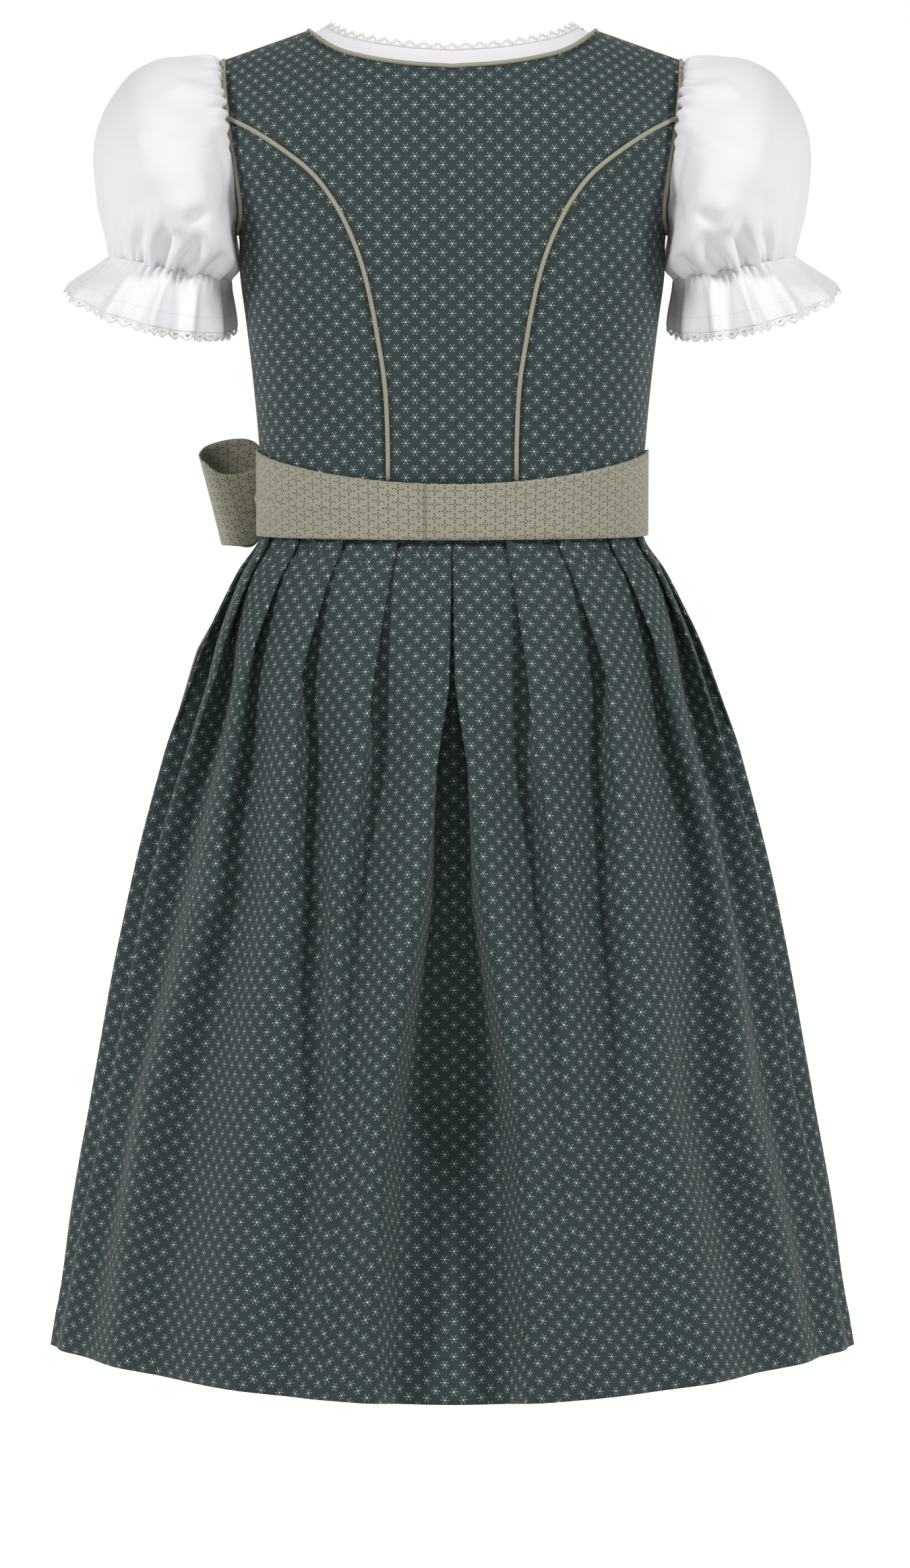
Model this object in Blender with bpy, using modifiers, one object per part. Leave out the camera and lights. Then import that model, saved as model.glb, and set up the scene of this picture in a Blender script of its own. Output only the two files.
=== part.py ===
"""A girl's dirndl set: sleeveless dress, puff-sleeved blouse and tied apron, hollow and filled out.

Metres, +Z up. Z = 0 is the height of the shoulder tips and X = Y = 0 the middle of the body.
The back of the garment faces -Y, and +X is the wearer's right. Every piece of cloth is a wall:
a surface worked out from short tables of sizes, then thickened by Solidify.
"""

import math
from collections import namedtuple

import bpy
import numpy as np
from mathutils import Vector

# ---- Cloth ---------------------------------------------------------------------------------
DRESS_CLOTH = 0.0012
SKIRT_CLOTH = 0.0010
BLOUSE_CLOTH = 0.0010
APRON_CLOTH = 0.0010
TIE_CLOTH = 0.0012
LACE_CLOTH = 0.0010
SEAM_GAP = 0.0006
HALF_SEAM = SEAM_GAP / 2
BLOUSE_INSET = 0.0032
PIPING_RADIUS = 0.0014
PIPING_LIFT = DRESS_CLOTH / 2 + PIPING_RADIUS + 0.0005
NECK_PIPING_LIFT = PIPING_LIFT + 0.0012

BACK, FRONT = -1, 1
LEFT, RIGHT = -1, 1
SIDES = (("l", LEFT), ("r", RIGHT))

# ---- Torso: the form inside the dress, from the waist seam to above the shoulders ---------
Torso = namedtuple("Torso", "height half_width back_depth front_depth")
TORSO = [
    Torso(-0.300, 0.1222, 0.0822, 0.0815),
    Torso(-0.270, 0.1248, 0.0838, 0.0832),
    Torso(-0.240, 0.1272, 0.0858, 0.0860),
    Torso(-0.206, 0.1304, 0.0885, 0.0900),
    Torso(-0.171, 0.1345, 0.0915, 0.0950),
    Torso(-0.136, 0.1388, 0.0945, 0.0985),
    Torso(-0.111, 0.1395, 0.0960, 0.0980),
    Torso(-0.080, 0.1500, 0.0960, 0.0930),
    Torso(-0.050, 0.1590, 0.0930, 0.0860),
    Torso(-0.020, 0.1640, 0.0860, 0.0780),
    Torso(0.045, 0.1660, 0.0700, 0.0640),
]
SECTION_POWER = 2.3
SHOULDER_ROUND = 0.075
ARCH_POWER, ARCH_SHARPNESS = 1.7, 1.5
WAIST_SEAM = -0.2975
UNDERARM = -0.111

Edge = namedtuple("Edge", "height out")
ARMHOLE = [
    Edge(-0.111, 0.1395), Edge(-0.0954, 0.1385), Edge(-0.082, 0.1399), Edge(-0.0611, 0.1429),
    Edge(-0.0364, 0.1470), Edge(-0.018, 0.1494), Edge(-0.0009, 0.1507),
]
PRINCESS = [
    Edge(-0.300, 0.0415), Edge(-0.2402, 0.0416), Edge(-0.2091, 0.0433), Edge(-0.1811, 0.0476),
    Edge(-0.1574, 0.0519), Edge(-0.1303, 0.0588), Edge(-0.1097, 0.0670), Edge(-0.0904, 0.0777),
    Edge(-0.0732, 0.0919), Edge(-0.0604, 0.1083), Edge(-0.0553, 0.1143), Edge(-0.0480, 0.1285),
    Edge(-0.0403, 0.1418),
]
PRINCESS_TOP = -0.0403
PRINCESS_START = 0.78

Neck = namedtuple("Neck", "out back front")
NECKLINE = [
    Neck(0.0000, -0.0059, -0.0620), Neck(0.0345, -0.0031, -0.0570), Neck(0.0580, 0.0013, -0.0400),
    Neck(0.0720, 0.0056, -0.0210), Neck(0.0835, 0.0122, 0.0000), Neck(0.0925, 0.0196, 0.0196),
]
NECK_POINT, SHOULDER_TIP = (0.0925, 0.0196), (0.1507, -0.0009)
NECK_RISE = 0.022
BLOUSE_NECK_RISE = 0.0065
LACE_DEPTH = 0.0078
BLOUSE_HEM = -0.215

# ---- Skirt ---------------------------------------------------------------------------------
SKIRT_TOP = -0.2983
SKIRT_HEM = -0.8485
LAYER_STEP = 0.0016
Level = namedtuple("Level", "height half_width back front squareness ridge opening wave")
SKIRT = [
    Level(SKIRT_TOP, 0.1215, 0.0818, 0.0812, 0.87, 0.0032, -0.025, 0.0),
    Level(-0.3128, 0.1230, 0.0824, 0.0818, 0.87, 0.0032, -0.025, 0.0),
    Level(-0.332, 0.1350, 0.0950, 0.0940, 0.92, 0.0060, -0.021, 0.2),
    Level(-0.365, 0.1470, 0.1080, 0.1050, 0.99, 0.0125, -0.014, 0.6),
    Level(-0.420, 0.1605, 0.1250, 0.1210, 1.09, 0.0185, -0.004, 0.95),
    Level(-0.495, 0.1815, 0.1430, 0.1390, 1.21, 0.0212, 0.007, 1.0),
    Level(-0.580, 0.2015, 0.1600, 0.1560, 1.35, 0.0222, 0.016, 1.0),
    Level(-0.675, 0.2220, 0.1755, 0.1715, 1.48, 0.0210, 0.024, 1.0),
    Level(-0.765, 0.2450, 0.1885, 0.1845, 1.64, 0.0150, 0.030, 1.0),
    Level(SKIRT_HEM, 0.2675, 0.2010, 0.1970, 1.84, 0.0060, 0.034, 1.0),
]
# Each fold's place is an angle round the body from the centre back, at these five heights.
FOLD_HEIGHTS = (SKIRT_TOP, -0.40, -0.536, -0.67, SKIRT_HEM)
Fold = namedtuple("Fold", "left right strength")
FOLDS = [
    Fold((16.4, 17.6, 17.2, 16.5, 17.0), (16.2, 16.9, 15.8, 16.8, 18.0), (1, 1.0, 0.7, 0.0, 0.0)),
    Fold((34.2, 35.5, 26.3, 22.6, 23.2), (33.0, 36.6, 28.0, 26.8, 30.4), (1, 1.0, 1.0, 1.0, 1.0)),
    Fold((53.2, 52.5, 44.0, 48.0, 45.4), (54.9, 55.0, 52.0, 45.0, 49.0), (1, 1.0, 0.9, 1.0, 1.0)),
    Fold((73.7, 64.7, 65.8, 66.0, 65.0), (76.6, 72.0, 68.5, 65.5, 65.5), (1, 1.0, 0.8, 0.5, 0.5)),
    Fold((94.0, 84.0, 81.0, 80.0, 82.0), (96.0, 87.0, 83.0, 80.5, 82.0), (1, 1.0, 0.8, 0.6, 0.6)),
    Fold((114.0, 108.0, 105.0, 105.0, 105.0), (115.0, 108.0, 105.0, 105.0, 105.0), (1, 1, 0.8, 0.7, 0.7)),
    Fold((134.0, 130.0, 128.0, 128.0, 128.0), (134.0, 130.0, 128.0, 128.0, 128.0), (1, 1, 0.7, 0.6, 0.6)),
    Fold((155.0, 153.0, 152.0, 152.0, 152.0), (155.0, 153.0, 152.0, 152.0, 152.0), (1, 1, 0.7, 0.6, 0.6)),
]
CentreFold = namedtuple("CentreFold", "valley ridge strength middle depth")
CENTRE_FOLD = [
    CentreFold(0.025, 0.0004, 1.0, 0.0, 0.0), CentreFold(0.012, 0.002, 1.1, 0.0, 0.0),
    CentreFold(0.008, 0.021, 1.3, 0.0, 0.012), CentreFold(0.030, 0.044, 1.2, 0.0, 0.030),
    CentreFold(0.034, 0.050, 1.1, 0.005, 0.004),
]
FALL_STEPS = (0.0, 0.2, 0.42, 0.68, 0.96)
RISE_STEPS = (0.07, 0.5, 0.95)

# ---- Apron, its band and ties --------------------------------------------------------------
APRON_TOP, APRON_HEM = -0.3105, -0.800
APRON_HALF_ANGLE_TOP, APRON_HALF_ANGLE_HEM = 60.0, 64.0
APRON_ACROSS = 30
APRON_WAVES = 7
BAND_HALF_WIDTH, BAND_BACK, BAND_FRONT = 0.1285, 0.0876, 0.0880
BAND_SQUARENESS = 0.87
BAND_TOP_SIDE, BAND_TOP_MIDDLE = -0.2538, -0.2737
BAND_BOTTOM = -0.3097
BAND_FLARE = 0.0005  # the top edge stands off the bodice above the waist
OVERLAP_LIFT = TIE_CLOTH + 0.0005
TIE_END = -7.3
KNOT_ANGLE = -127.0

# ---- Sleeves -------------------------------------------------------------------------------
# An inner side below 1.0 in "flat" lies flat against the body; "pull" draws the back and front inwards.
Sleeve = namedtuple("Sleeve", "top_x top_z under_x under_z half_depth gather pull flat")
SLEEVE = [
    Sleeve(0.1535, -0.0010, 0.1416, -0.1100, 0.046, 0.0, 0.0, 1.0),
    Sleeve(0.1610, 0.0015, 0.1455, -0.1080, 0.056, 0.0012, 0.0066, 0.85),
    Sleeve(0.1760, 0.0019, 0.1446, -0.1180, 0.066, 0.0014, 0.0055, 0.75),
    Sleeve(0.1960, -0.0010, 0.1434, -0.1230, 0.074, 0.0010, 0.0050, 0.68),
    Sleeve(0.2170, -0.0155, 0.1426, -0.1270, 0.080, 0.0008, 0.0060, 0.62),
    Sleeve(0.2335, -0.0500, 0.1424, -0.1310, 0.081, 0.0008, 0.0080, 0.60),
    Sleeve(0.2325, -0.0930, 0.1426, -0.1355, 0.074, 0.0013, 0.0085, 0.65),
    Sleeve(0.2236, -0.1268, 0.1458, -0.1417, 0.047, 0.0014, 0.0, 1.0),
]
SEAM_BOTTOM, SEAM_ROUND = -0.1058, -0.098
SLEEVE_SEAT = 0.0010
SLEEVE_POINTS, SLEEVE_GATHERS = 32, 10
Ruffle = namedtuple("Ruffle", "outer_x outer_z inner_x inner_z half_depth sag wave")
RUFFLE = [
    Ruffle(0.2238, -0.1275, 0.1462, -0.1424, 0.047, 0.0, 0.0006),
    Ruffle(0.2375, -0.1362, 0.1440, -0.1560, 0.054, 0.006, 0.0028),
    Ruffle(0.2495, -0.1440, 0.1425, -0.1685, 0.060, 0.011, 0.0046),
]
RUFFLE_LACE = [
    Ruffle(0.2498, -0.1446, 0.1425, -0.1691, 0.0602, 0.0112, 0.0046),
    Ruffle(0.2545, -0.1500, 0.1425, -0.1775, 0.062, 0.014, 0.0052),
]
RUFFLE_WAVES, POINTS_PER_WAVE = 14, 4

# ---- Buttons -------------------------------------------------------------------------------
BUTTON_RADIUS, BUTTON_THICKNESS = 0.0065, 0.0024
BUTTON_HEIGHTS = (-0.085, -0.125, -0.165, -0.205, -0.245)
BUTTON_X = -0.0105
BUTTON_SEAT = 0.0008

# ---- Materials: colour, roughness ----------------------------------------------------------
COLOURS = {
    "dress_cotton": ((0.050, 0.072, 0.074), 0.85),
    "apron_cotton": ((0.330, 0.320, 0.240), 0.80),
    "blouse_cotton": ((0.840, 0.825, 0.850), 0.80),
    "lace": ((0.870, 0.860, 0.880), 0.85),
    "piping": ((0.325, 0.315, 0.250), 0.70),
    "button": ((0.420, 0.400, 0.340), 0.45),
}


def clear_scene():
    for old in list(bpy.data.objects):
        bpy.data.objects.remove(old, do_unlink=True)


def new_collection(name):
    collection = bpy.data.collections.new(name)
    bpy.context.scene.collection.children.link(collection)
    return collection


def material(name):
    found = bpy.data.materials.get(name)
    if found:
        return found
    colour, roughness = COLOURS[name]
    made = bpy.data.materials.new(name)
    made.use_nodes = True
    shader = made.node_tree.nodes["Principled BSDF"]
    shader.inputs["Base Color"].default_value = (*colour, 1.0)
    shader.inputs["Roughness"].default_value = roughness
    shader.inputs["Metallic"].default_value = 0.0
    return made


def add_object(name, data, finish):
    made = bpy.data.objects.new(name, data)
    data.materials.append(material(finish))
    GARMENT.objects.link(made)
    return made


def wall(name, rows, finish, thickness, round_body=False):
    """One piece of cloth: a grid of points, rows by columns, joined into a sheet and thickened."""
    grid = np.array(rows, float)
    down, across = grid.shape[:2]
    steps = across if round_body else across - 1
    faces = [
        (i * across + j, i * across + (j + 1) % across,
         (i + 1) * across + (j + 1) % across, (i + 1) * across + j)
        for i in range(down - 1) for j in range(steps)
    ]
    mesh = bpy.data.meshes.new(name)
    mesh.from_pydata(grid.reshape(-1, 3).tolist(), [], faces)
    mesh.shade_smooth()
    made = add_object(name, mesh, finish)
    solid = made.modifiers.new("Cloth thickness", "SOLIDIFY")
    solid.thickness = thickness
    solid.offset = 0.0
    return made


def cord(name, points, finish, radius, closed):
    """Piping: a square-section cord along a path."""
    curve = bpy.data.curves.new(name, "CURVE")
    curve.dimensions = "3D"
    curve.bevel_depth = radius
    curve.bevel_resolution = 0
    curve.use_fill_caps = True
    spline = curve.splines.new("POLY")
    spline.points.add(len(points) - 1)
    for point, place in zip(spline.points, points):
        point.co = (*place, 1.0)
    spline.use_cyclic_u = closed
    return add_object(name, curve, finish)


def table(rows, key, value):
    """A smooth curve through two named columns of a table."""
    xs = np.array([getattr(row, key) for row in rows])
    ys = np.array([getattr(row, value) for row in rows])
    return smooth_curve(xs, ys)


def smooth_curve(xs, ys):
    xs, ys = np.array(xs, float), np.array(ys, float)
    order = np.argsort(xs)
    xs, ys = xs[order], ys[order]
    slopes = np.gradient(ys, xs)

    def at(x):
        x = min(max(x, xs[0]), xs[-1])
        i = min(max(int(np.searchsorted(xs, x)) - 1, 0), len(xs) - 2)
        span = xs[i + 1] - xs[i]
        t = (x - xs[i]) / span
        start = (1 + 2 * t) * (1 - t) ** 2 * ys[i] + t * (1 - t) ** 2 * span * slopes[i]
        end = t * t * (3 - 2 * t) * ys[i + 1] + t * t * (t - 1) * span * slopes[i + 1]
        return float(start + end)

    return at


def mix(a, b, t):
    return a + (b - a) * t


# ---- The torso's surface -------------------------------------------------------------------
form_half_width = table(TORSO, "height", "half_width")
form_depth = {BACK: table(TORSO, "height", "back_depth"), FRONT: table(TORSO, "height", "front_depth")}
armhole_out = table(ARMHOLE, "height", "out")
princess_out = table(PRINCESS, "height", "out")
neck_height = {BACK: table(NECKLINE, "out", "back"), FRONT: table(NECKLINE, "out", "front")}


def shoulder_height(x):
    """Height of the line where front and back meet, over the shoulder and across the neck."""
    out = abs(x)
    if out > NECK_POINT[0]:
        t = (out - NECK_POINT[0]) / (SHOULDER_TIP[0] - NECK_POINT[0])
        return mix(NECK_POINT[1], SHOULDER_TIP[1], t)
    return NECK_POINT[1] + NECK_RISE * (1 - (out / NECK_POINT[0]) ** 2)


def torso_depth(x, z, face, lift):
    ratio = min(abs(x) / (form_half_width(z) + lift), 1.0)
    below = min(max((shoulder_height(x) + lift - z) / SHOULDER_ROUND, 0.0), 1.0)
    arch = (1 - (1 - below) ** ARCH_POWER) ** (1 / ARCH_SHARPNESS)
    return (form_depth[face](z) + lift) * (1 - ratio**SECTION_POWER) ** (1 / SECTION_POWER) * arch


def torso_point(x, z, face, lift=0.0):
    """A point of the front or back surface of the form, after it grows by lift all over."""
    return np.array((x, face * torso_depth(x, z, face, lift), z))


def outer_x(z, lift=0.0):
    """Half-width of a body panel: the side seam, then the armhole's edge above it."""
    side = form_half_width(z) + lift
    return side if z <= UNDERARM else min(armhole_out(z), side)


def panel_x(z, lift=0.0):
    """Half-width of the centre panels: the princess seam, then the armhole's edge above it."""
    return princess_out(z) if z <= PRINCESS_TOP else armhole_out(z)


def angle_of(x, z, lift=0.0):
    return math.asin(min(abs(x) / (form_half_width(z) + lift), 1.0))


def top_height(x, face, rise, lift=0.0):
    shoulder = shoulder_height(x) + lift
    if abs(x) < NECK_POINT[0]:
        return min(neck_height[face](abs(x)) + rise, shoulder)
    return shoulder


# Columns of a centre panel start at these places along the neck and shoulder.
COLUMN_TOPS = (0.0, 0.026, 0.050, 0.070, 0.0825, 0.0885, 0.0925, 0.120)
ROW_DEPTHS = (
    0.0, 0.0015, 0.007, 0.018, 0.0394, 0.0426, 0.0500, 0.0590, 0.0710, 0.0955, 0.1101, 0.150,
    0.205, 0.2966,
)
SIDE_ROWS_FROM = 5


def column(top_x, face, side, bottom, depths, width_at, rise, lift):
    """Points of one column, from the neck or shoulder down to the bottom edge."""
    at_edge = top_x >= SHOULDER_TIP[0]
    top_z = top_height(top_x, face, rise, lift)
    full = angle_of(width_at(top_z, lift), top_z, lift)
    share = 1.0 if at_edge else angle_of(top_x, top_z, lift) / full
    points = []
    for depth in depths:
        z = top_z - depth / depths[-1] * (top_z - bottom)
        angle = share * angle_of(width_at(z, lift), z, lift)
        x = (form_half_width(z) + lift) * math.sin(angle)
        point = torso_point(side * x, z, face, lift)
        points.append(point)
    for point in points:
        point[1] = face * max(face * point[1], HALF_SEAM)
    return points


def centre_rows(face, sides, rise, lift, bottom, tops, depths, width_at, parted=False):
    columns = []
    for side in sides:
        places = tops + (SHOULDER_TIP[0],)
        half = [column(x, face, side, bottom, depths, width_at, rise, lift) for x in places]
        if parted:
            for point in half[0]:
                point[0] = side * max(side * point[0], HALF_SEAM)
        columns.append(half)
    if len(columns) == 2:
        ordered = columns[0][:0:-1] + columns[1]
    else:
        ordered = columns[0]
    return np.transpose(np.array(ordered), (1, 0, 2))


def side_rows(face, side):
    """The side panel: between the princess seam and the side seam or armhole."""
    heights = [SHOULDER_TIP[1] - depth for depth in ROW_DEPTHS[SIDE_ROWS_FROM:]]
    rows = []
    for z in heights:
        inner = angle_of(princess_out(z) + SEAM_GAP, z)
        outer = angle_of(outer_x(z), z)
        row = []
        for share in (0.0, 0.25, 0.5, 0.75, 1.0):
            x = form_half_width(z) * math.sin(mix(inner, outer, share))
            point = torso_point(side * x, z, face)
            point[1] = face * max(face * point[1], HALF_SEAM)
            row.append(point)
        rows.append(row)
    return rows


def build_bodice():
    def seam_side(z, lift):
        return panel_x(z) - (SEAM_GAP if z <= PRINCESS_TOP else 0.0)

    rows = centre_rows(BACK, (LEFT, RIGHT), 0.0, 0.0, WAIST_SEAM, COLUMN_TOPS, ROW_DEPTHS, seam_side)
    wall("bodice_back_centre", rows, "dress_cotton", DRESS_CLOTH)
    for label, side in SIDES:
        rows = centre_rows(
            FRONT, (side,), 0.0, 0.0, WAIST_SEAM, COLUMN_TOPS, ROW_DEPTHS, seam_side, parted=True
        )
        wall("bodice_front_" + label, rows, "dress_cotton", DRESS_CLOTH)
        wall("bodice_side_back_" + label, side_rows(BACK, side), "dress_cotton", DRESS_CLOTH)
        wall("bodice_side_front_" + label, side_rows(FRONT, side), "dress_cotton", DRESS_CLOTH)


BLOUSE_NECK_POINT = 0.0868
BLOUSE_TOPS = (0.0, 0.026, 0.049, 0.067, 0.0780, 0.0835, BLOUSE_NECK_POINT, 0.118)
BLOUSE_DEPTHS = (0.0, 0.0015, 0.006, 0.015, 0.032, 0.056, 0.084, 0.0985, 0.2117)


def blouse_rows(face):
    return centre_rows(
        face, (LEFT, RIGHT), BLOUSE_NECK_RISE, -BLOUSE_INSET, BLOUSE_HEM, BLOUSE_TOPS,
        BLOUSE_DEPTHS, outer_x,
    )


def build_blouse():
    for name, face in (("blouse_back", BACK), ("blouse_front", FRONT)):
        wall(name, blouse_rows(face), "blouse_cotton", BLOUSE_CLOTH)
    build_neck_lace()


def build_neck_lace():
    """The crochet edging stands on the neck edge, from the blouse's own top points."""
    beyond = len(BLOUSE_TOPS) - BLOUSE_TOPS.index(BLOUSE_NECK_POINT)
    back = list(blouse_rows(BACK)[0][beyond:-beyond])
    front = list(blouse_rows(FRONT)[0][beyond:-beyond])
    low = [point + np.array((0.0, 0.0, SEAM_GAP)) for point in back[::-1] + front]
    high = []
    for point in low:
        t = min(max((abs(point[0]) - 0.045) / 0.042, 0.0), 1.0)
        lean = t * t * (3 - 2 * t)  # beside the shoulder points it leans in over the neck
        rise = np.array((-math.copysign(0.0038, point[0]) * lean, 0.0, LACE_DEPTH - 0.0026 * lean))
        high.append(point * np.array((0.985, 0.985, 1.0)) + rise)
    wall("lace_neck", [low, high], "lace", LACE_CLOTH, round_body=True)


# ---- Trim on the bodice --------------------------------------------------------------------
def neck_path(lift, below):
    """The neckline's closed loop, from the centre panels' own top points, moved out."""
    path = []
    neck_tops = COLUMN_TOPS[: COLUMN_TOPS.index(NECK_POINT[0])]
    over = NECK_POINT[0] + below
    for face in (BACK, FRONT):
        start = -face
        across = [start * x for x in reversed(neck_tops)] + [-start * x for x in neck_tops[1:]]
        path.append(np.array((start * over, 0.0, shoulder_height(over) + lift)))
        path += [torso_point(x, neck_height[face](abs(x)) - below, face, lift) for x in across]
    return path


def armhole_path(side, lift, inset, count):
    """The armhole's closed loop, from the shoulder down the back and up the front."""
    top = shoulder_height(SHOULDER_TIP[0] - inset) + lift
    bottom = UNDERARM - inset
    path = []
    for i in range(count):
        turn = 2 * math.pi * i / count
        face = BACK if turn < math.pi else FRONT
        z = mix(bottom, top, (1 + math.cos(turn)) / 2)
        x = outer_x(z, lift) - (inset if z > UNDERARM else 0.0)
        path.append(torso_point(side * x, z, face, lift))
    return path


def princess_path(side, face, lift):
    foot = band_top(math.degrees(angle_of(princess_out(BAND_TOP_MIDDLE), BAND_TOP_MIDDLE))) + 0.0018
    heights = [SHOULDER_TIP[1] - depth for depth in ROW_DEPTHS[SIDE_ROWS_FROM:]]
    path = [torso_point(side * princess_out(z), z, face, lift) for z in heights]
    path[0] = mix(path[1], path[0], PRINCESS_START)
    path[-1] = mix(path[-2], path[-1], (heights[-2] - foot) / (heights[-2] - heights[-1]))
    return path


def build_piping():
    cord("piping_neck", neck_path(NECK_PIPING_LIFT, 0.0012), "piping", PIPING_RADIUS, True)
    for label, side in SIDES:
        path = armhole_path(side, PIPING_LIFT, 0.0018, 24)
        cord("piping_armhole_" + label, path, "piping", PIPING_RADIUS, True)
        for name, face in (("back", BACK), ("front", FRONT)):
            path = princess_path(side, face, PIPING_LIFT)
            cord(f"piping_princess_{name}_{label}", path, "piping", PIPING_RADIUS, False)


def build_buttons():
    step = 0.004
    for number, z in enumerate(BUTTON_HEIGHTS, 1):
        here = torso_point(BUTTON_X, z, FRONT)
        across = torso_point(BUTTON_X + step, z, FRONT) - torso_point(BUTTON_X - step, z, FRONT)
        up = torso_point(BUTTON_X, z + step, FRONT) - torso_point(BUTTON_X, z - step, FRONT)
        out = Vector(np.cross(up, across)).normalized()
        bpy.ops.mesh.primitive_cylinder_add(vertices=12, radius=BUTTON_RADIUS, depth=BUTTON_THICKNESS)
        made = bpy.context.active_object
        made.name = f"button_{number}"
        for owner in list(made.users_collection):
            owner.objects.unlink(made)
        GARMENT.objects.link(made)
        made.data.materials.append(material("button"))
        made.location = Vector(here) + out * (DRESS_CLOTH / 2 + BUTTON_SEAT + BUTTON_THICKNESS / 2)
        made.rotation_euler = out.to_track_quat("Z", "Y").to_euler()


# ---- Skirt ---------------------------------------------------------------------------------
def ring_curve(half_width, back, front, squareness, samples=720):
    """The body's outline at one height, as points by arc length from the centre back."""
    turns = np.linspace(0, 2 * math.pi, samples + 1)
    x = half_width * np.sin(turns)
    cosine = np.cos(turns)
    depth = np.where(cosine > 0, back, front)
    y = -depth * np.sign(cosine) * np.abs(cosine) ** squareness
    steps = np.hypot(np.diff(x), np.diff(y))
    return turns, x, y, np.concatenate([[0], np.cumsum(steps)])


class Ring:
    """One height of the skirt: finds a point from its distance round and its offset outwards."""

    def __init__(self, z):
        values = {name: table(SKIRT, "height", name)(z) for name in Level._fields[1:]}
        self.z = z
        self.level = Level(z, **values)
        self.turns, self.x, self.y, self.arc = ring_curve(
            self.level.half_width, self.level.back, self.level.front, self.level.squareness
        )
        self.length = self.arc[-1]

    def arc_at(self, degrees):
        return float(np.interp(math.radians(degrees), self.turns, self.arc))

    def point(self, distance, out):
        s = distance % self.length
        reach = 0.004
        here = self._at(s)
        tangent = self._at((s + reach) % self.length) - self._at((s - reach) % self.length)
        tangent /= np.linalg.norm(tangent)
        return np.array((here[0] + tangent[1] * out, here[1] - tangent[0] * out, self.z))

    def _at(self, s):
        return np.array((np.interp(s, self.arc, self.x), np.interp(s, self.arc, self.y)))


def at_heights(values, z):
    return float(np.interp(-z, [-h for h in FOLD_HEIGHTS], values))


def centre_fold(z):
    return CentreFold(*(at_heights([getattr(f, n) for f in CENTRE_FOLD], z) for n in CentreFold._fields))


def levels_of(strength, ridge):
    """Heights of a fold's valley and ridge. A weak fold has both near the middle."""
    return ridge * 0.55 * (1 - strength), ridge * (0.55 + 0.45 * strength)


def half_section(ring, side):
    """(distance from the centre back, offset outwards) along one half of a skirt section."""
    level, wave = ring.level, ring.level.wave
    centre = centre_fold(ring.z)
    lines = [0.0]
    places = [(centre.valley, centre.ridge)]
    strengths = [centre.strength]
    for fold in FOLDS:
        line = ring.arc_at(at_heights(fold.left if side == LEFT else fold.right, ring.z))
        strength = at_heights(fold.strength, ring.z)
        opening = level.opening * (0.2 + 0.8 * strength) if level.opening > 0 else level.opening
        places.append((line - min(opening, 0.0), line + max(opening, 0.0)))
        lines.append(line)
        strengths.append(strength)
    half = ring.length / 2
    middle = levels_of(centre.strength, level.ridge)[0] - centre.depth + centre.middle
    points = [(0.0, mix(0.0, middle, wave))]
    for k, (valley, ridge) in enumerate(places):
        low, high = levels_of(strengths[k], level.ridge)
        if k == 0:
            low -= centre.depth
            points.append((valley, mix(0.0, low, wave)))
        for t in RISE_STEPS:
            folded = LAYER_STEP
            waved = mix(low, high, (1 - math.cos(math.pi * t)) / 2)
            points.append((mix(valley, ridge, t), mix(folded, waved, wave)))
        last = k + 1 == len(places)
        end = half if last else places[k + 1][0]
        next_line = half if last else lines[k + 1]
        next_low = mix(low, high, 0.4) if last else levels_of(strengths[k + 1], level.ridge)[0]
        visible = (next_line - ridge) / (end - ridge)
        for t in FALL_STEPS:
            folded = 2 * LAYER_STEP * (1 - min(t / visible, 1.0) * (0.5 if last else 1.0))
            waved = mix(next_low, high, (1 + math.cos(math.pi * t)) / 2)
            points.append((mix(ridge, end, t), mix(folded, waved, wave)))
    return points


def skirt_section(z):
    ring = Ring(z)
    right = half_section(ring, RIGHT)
    left = half_section(ring, LEFT)
    points = [ring.point(s, out) for s, out in right]
    points += [ring.point(ring.length - s, out) for s, out in reversed(left[1:])]
    return points


def build_skirt():
    rows = [skirt_section(level.height) for level in SKIRT]
    for level, row in zip(SKIRT, rows):
        closed = np.array(row + row[:1])
        print(f"skirt {level.height:.3f}: cloth {np.linalg.norm(np.diff(closed, axis=0), axis=1).sum():.3f} m")
    wall("skirt", rows, "dress_cotton", SKIRT_CLOTH, round_body=True)


# ---- Apron, band, ties and bow -------------------------------------------------------------
def front_lift(z):
    """How far the skirt's front folds stand out, with the cloth's thickness."""
    level = Ring(z).level
    strength = at_heights(FOLDS[-1].strength, z)
    high = levels_of(max(strength, at_heights(FOLDS[5].strength, z)), level.ridge)[1]
    return mix(2 * LAYER_STEP, high, level.wave) + SKIRT_CLOTH


def apron_point(z, share, lift):
    t = (APRON_TOP - z) / (APRON_TOP - APRON_HEM)
    spread = mix(APRON_HALF_ANGLE_TOP, APRON_HALF_ANGLE_HEM, t)
    ring = Ring(z)
    wave = mix(0.0007, 0.0050, t) * (1 - math.cos(2 * math.pi * APRON_WAVES * share))
    distance = ring.arc_at(180 + spread * (2 * share - 1))
    return ring.point(distance, front_lift(z) + 0.0008 + wave + lift)


def build_apron():
    between = [level.height for level in SKIRT if APRON_HEM < level.height < APRON_TOP]
    heights = [APRON_TOP, *between, APRON_HEM]
    rows = [[apron_point(z, i / APRON_ACROSS, 0.0) for i in range(APRON_ACROSS + 1)] for z in heights]
    wall("apron", rows, "apron_cotton", APRON_CLOTH)


def band_top(degrees):
    """The band dips where it crosses the middle of the back and of the front."""
    return mix(BAND_TOP_SIDE, BAND_TOP_MIDDLE, abs(math.cos(math.radians(degrees))) ** 1.55)


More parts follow.
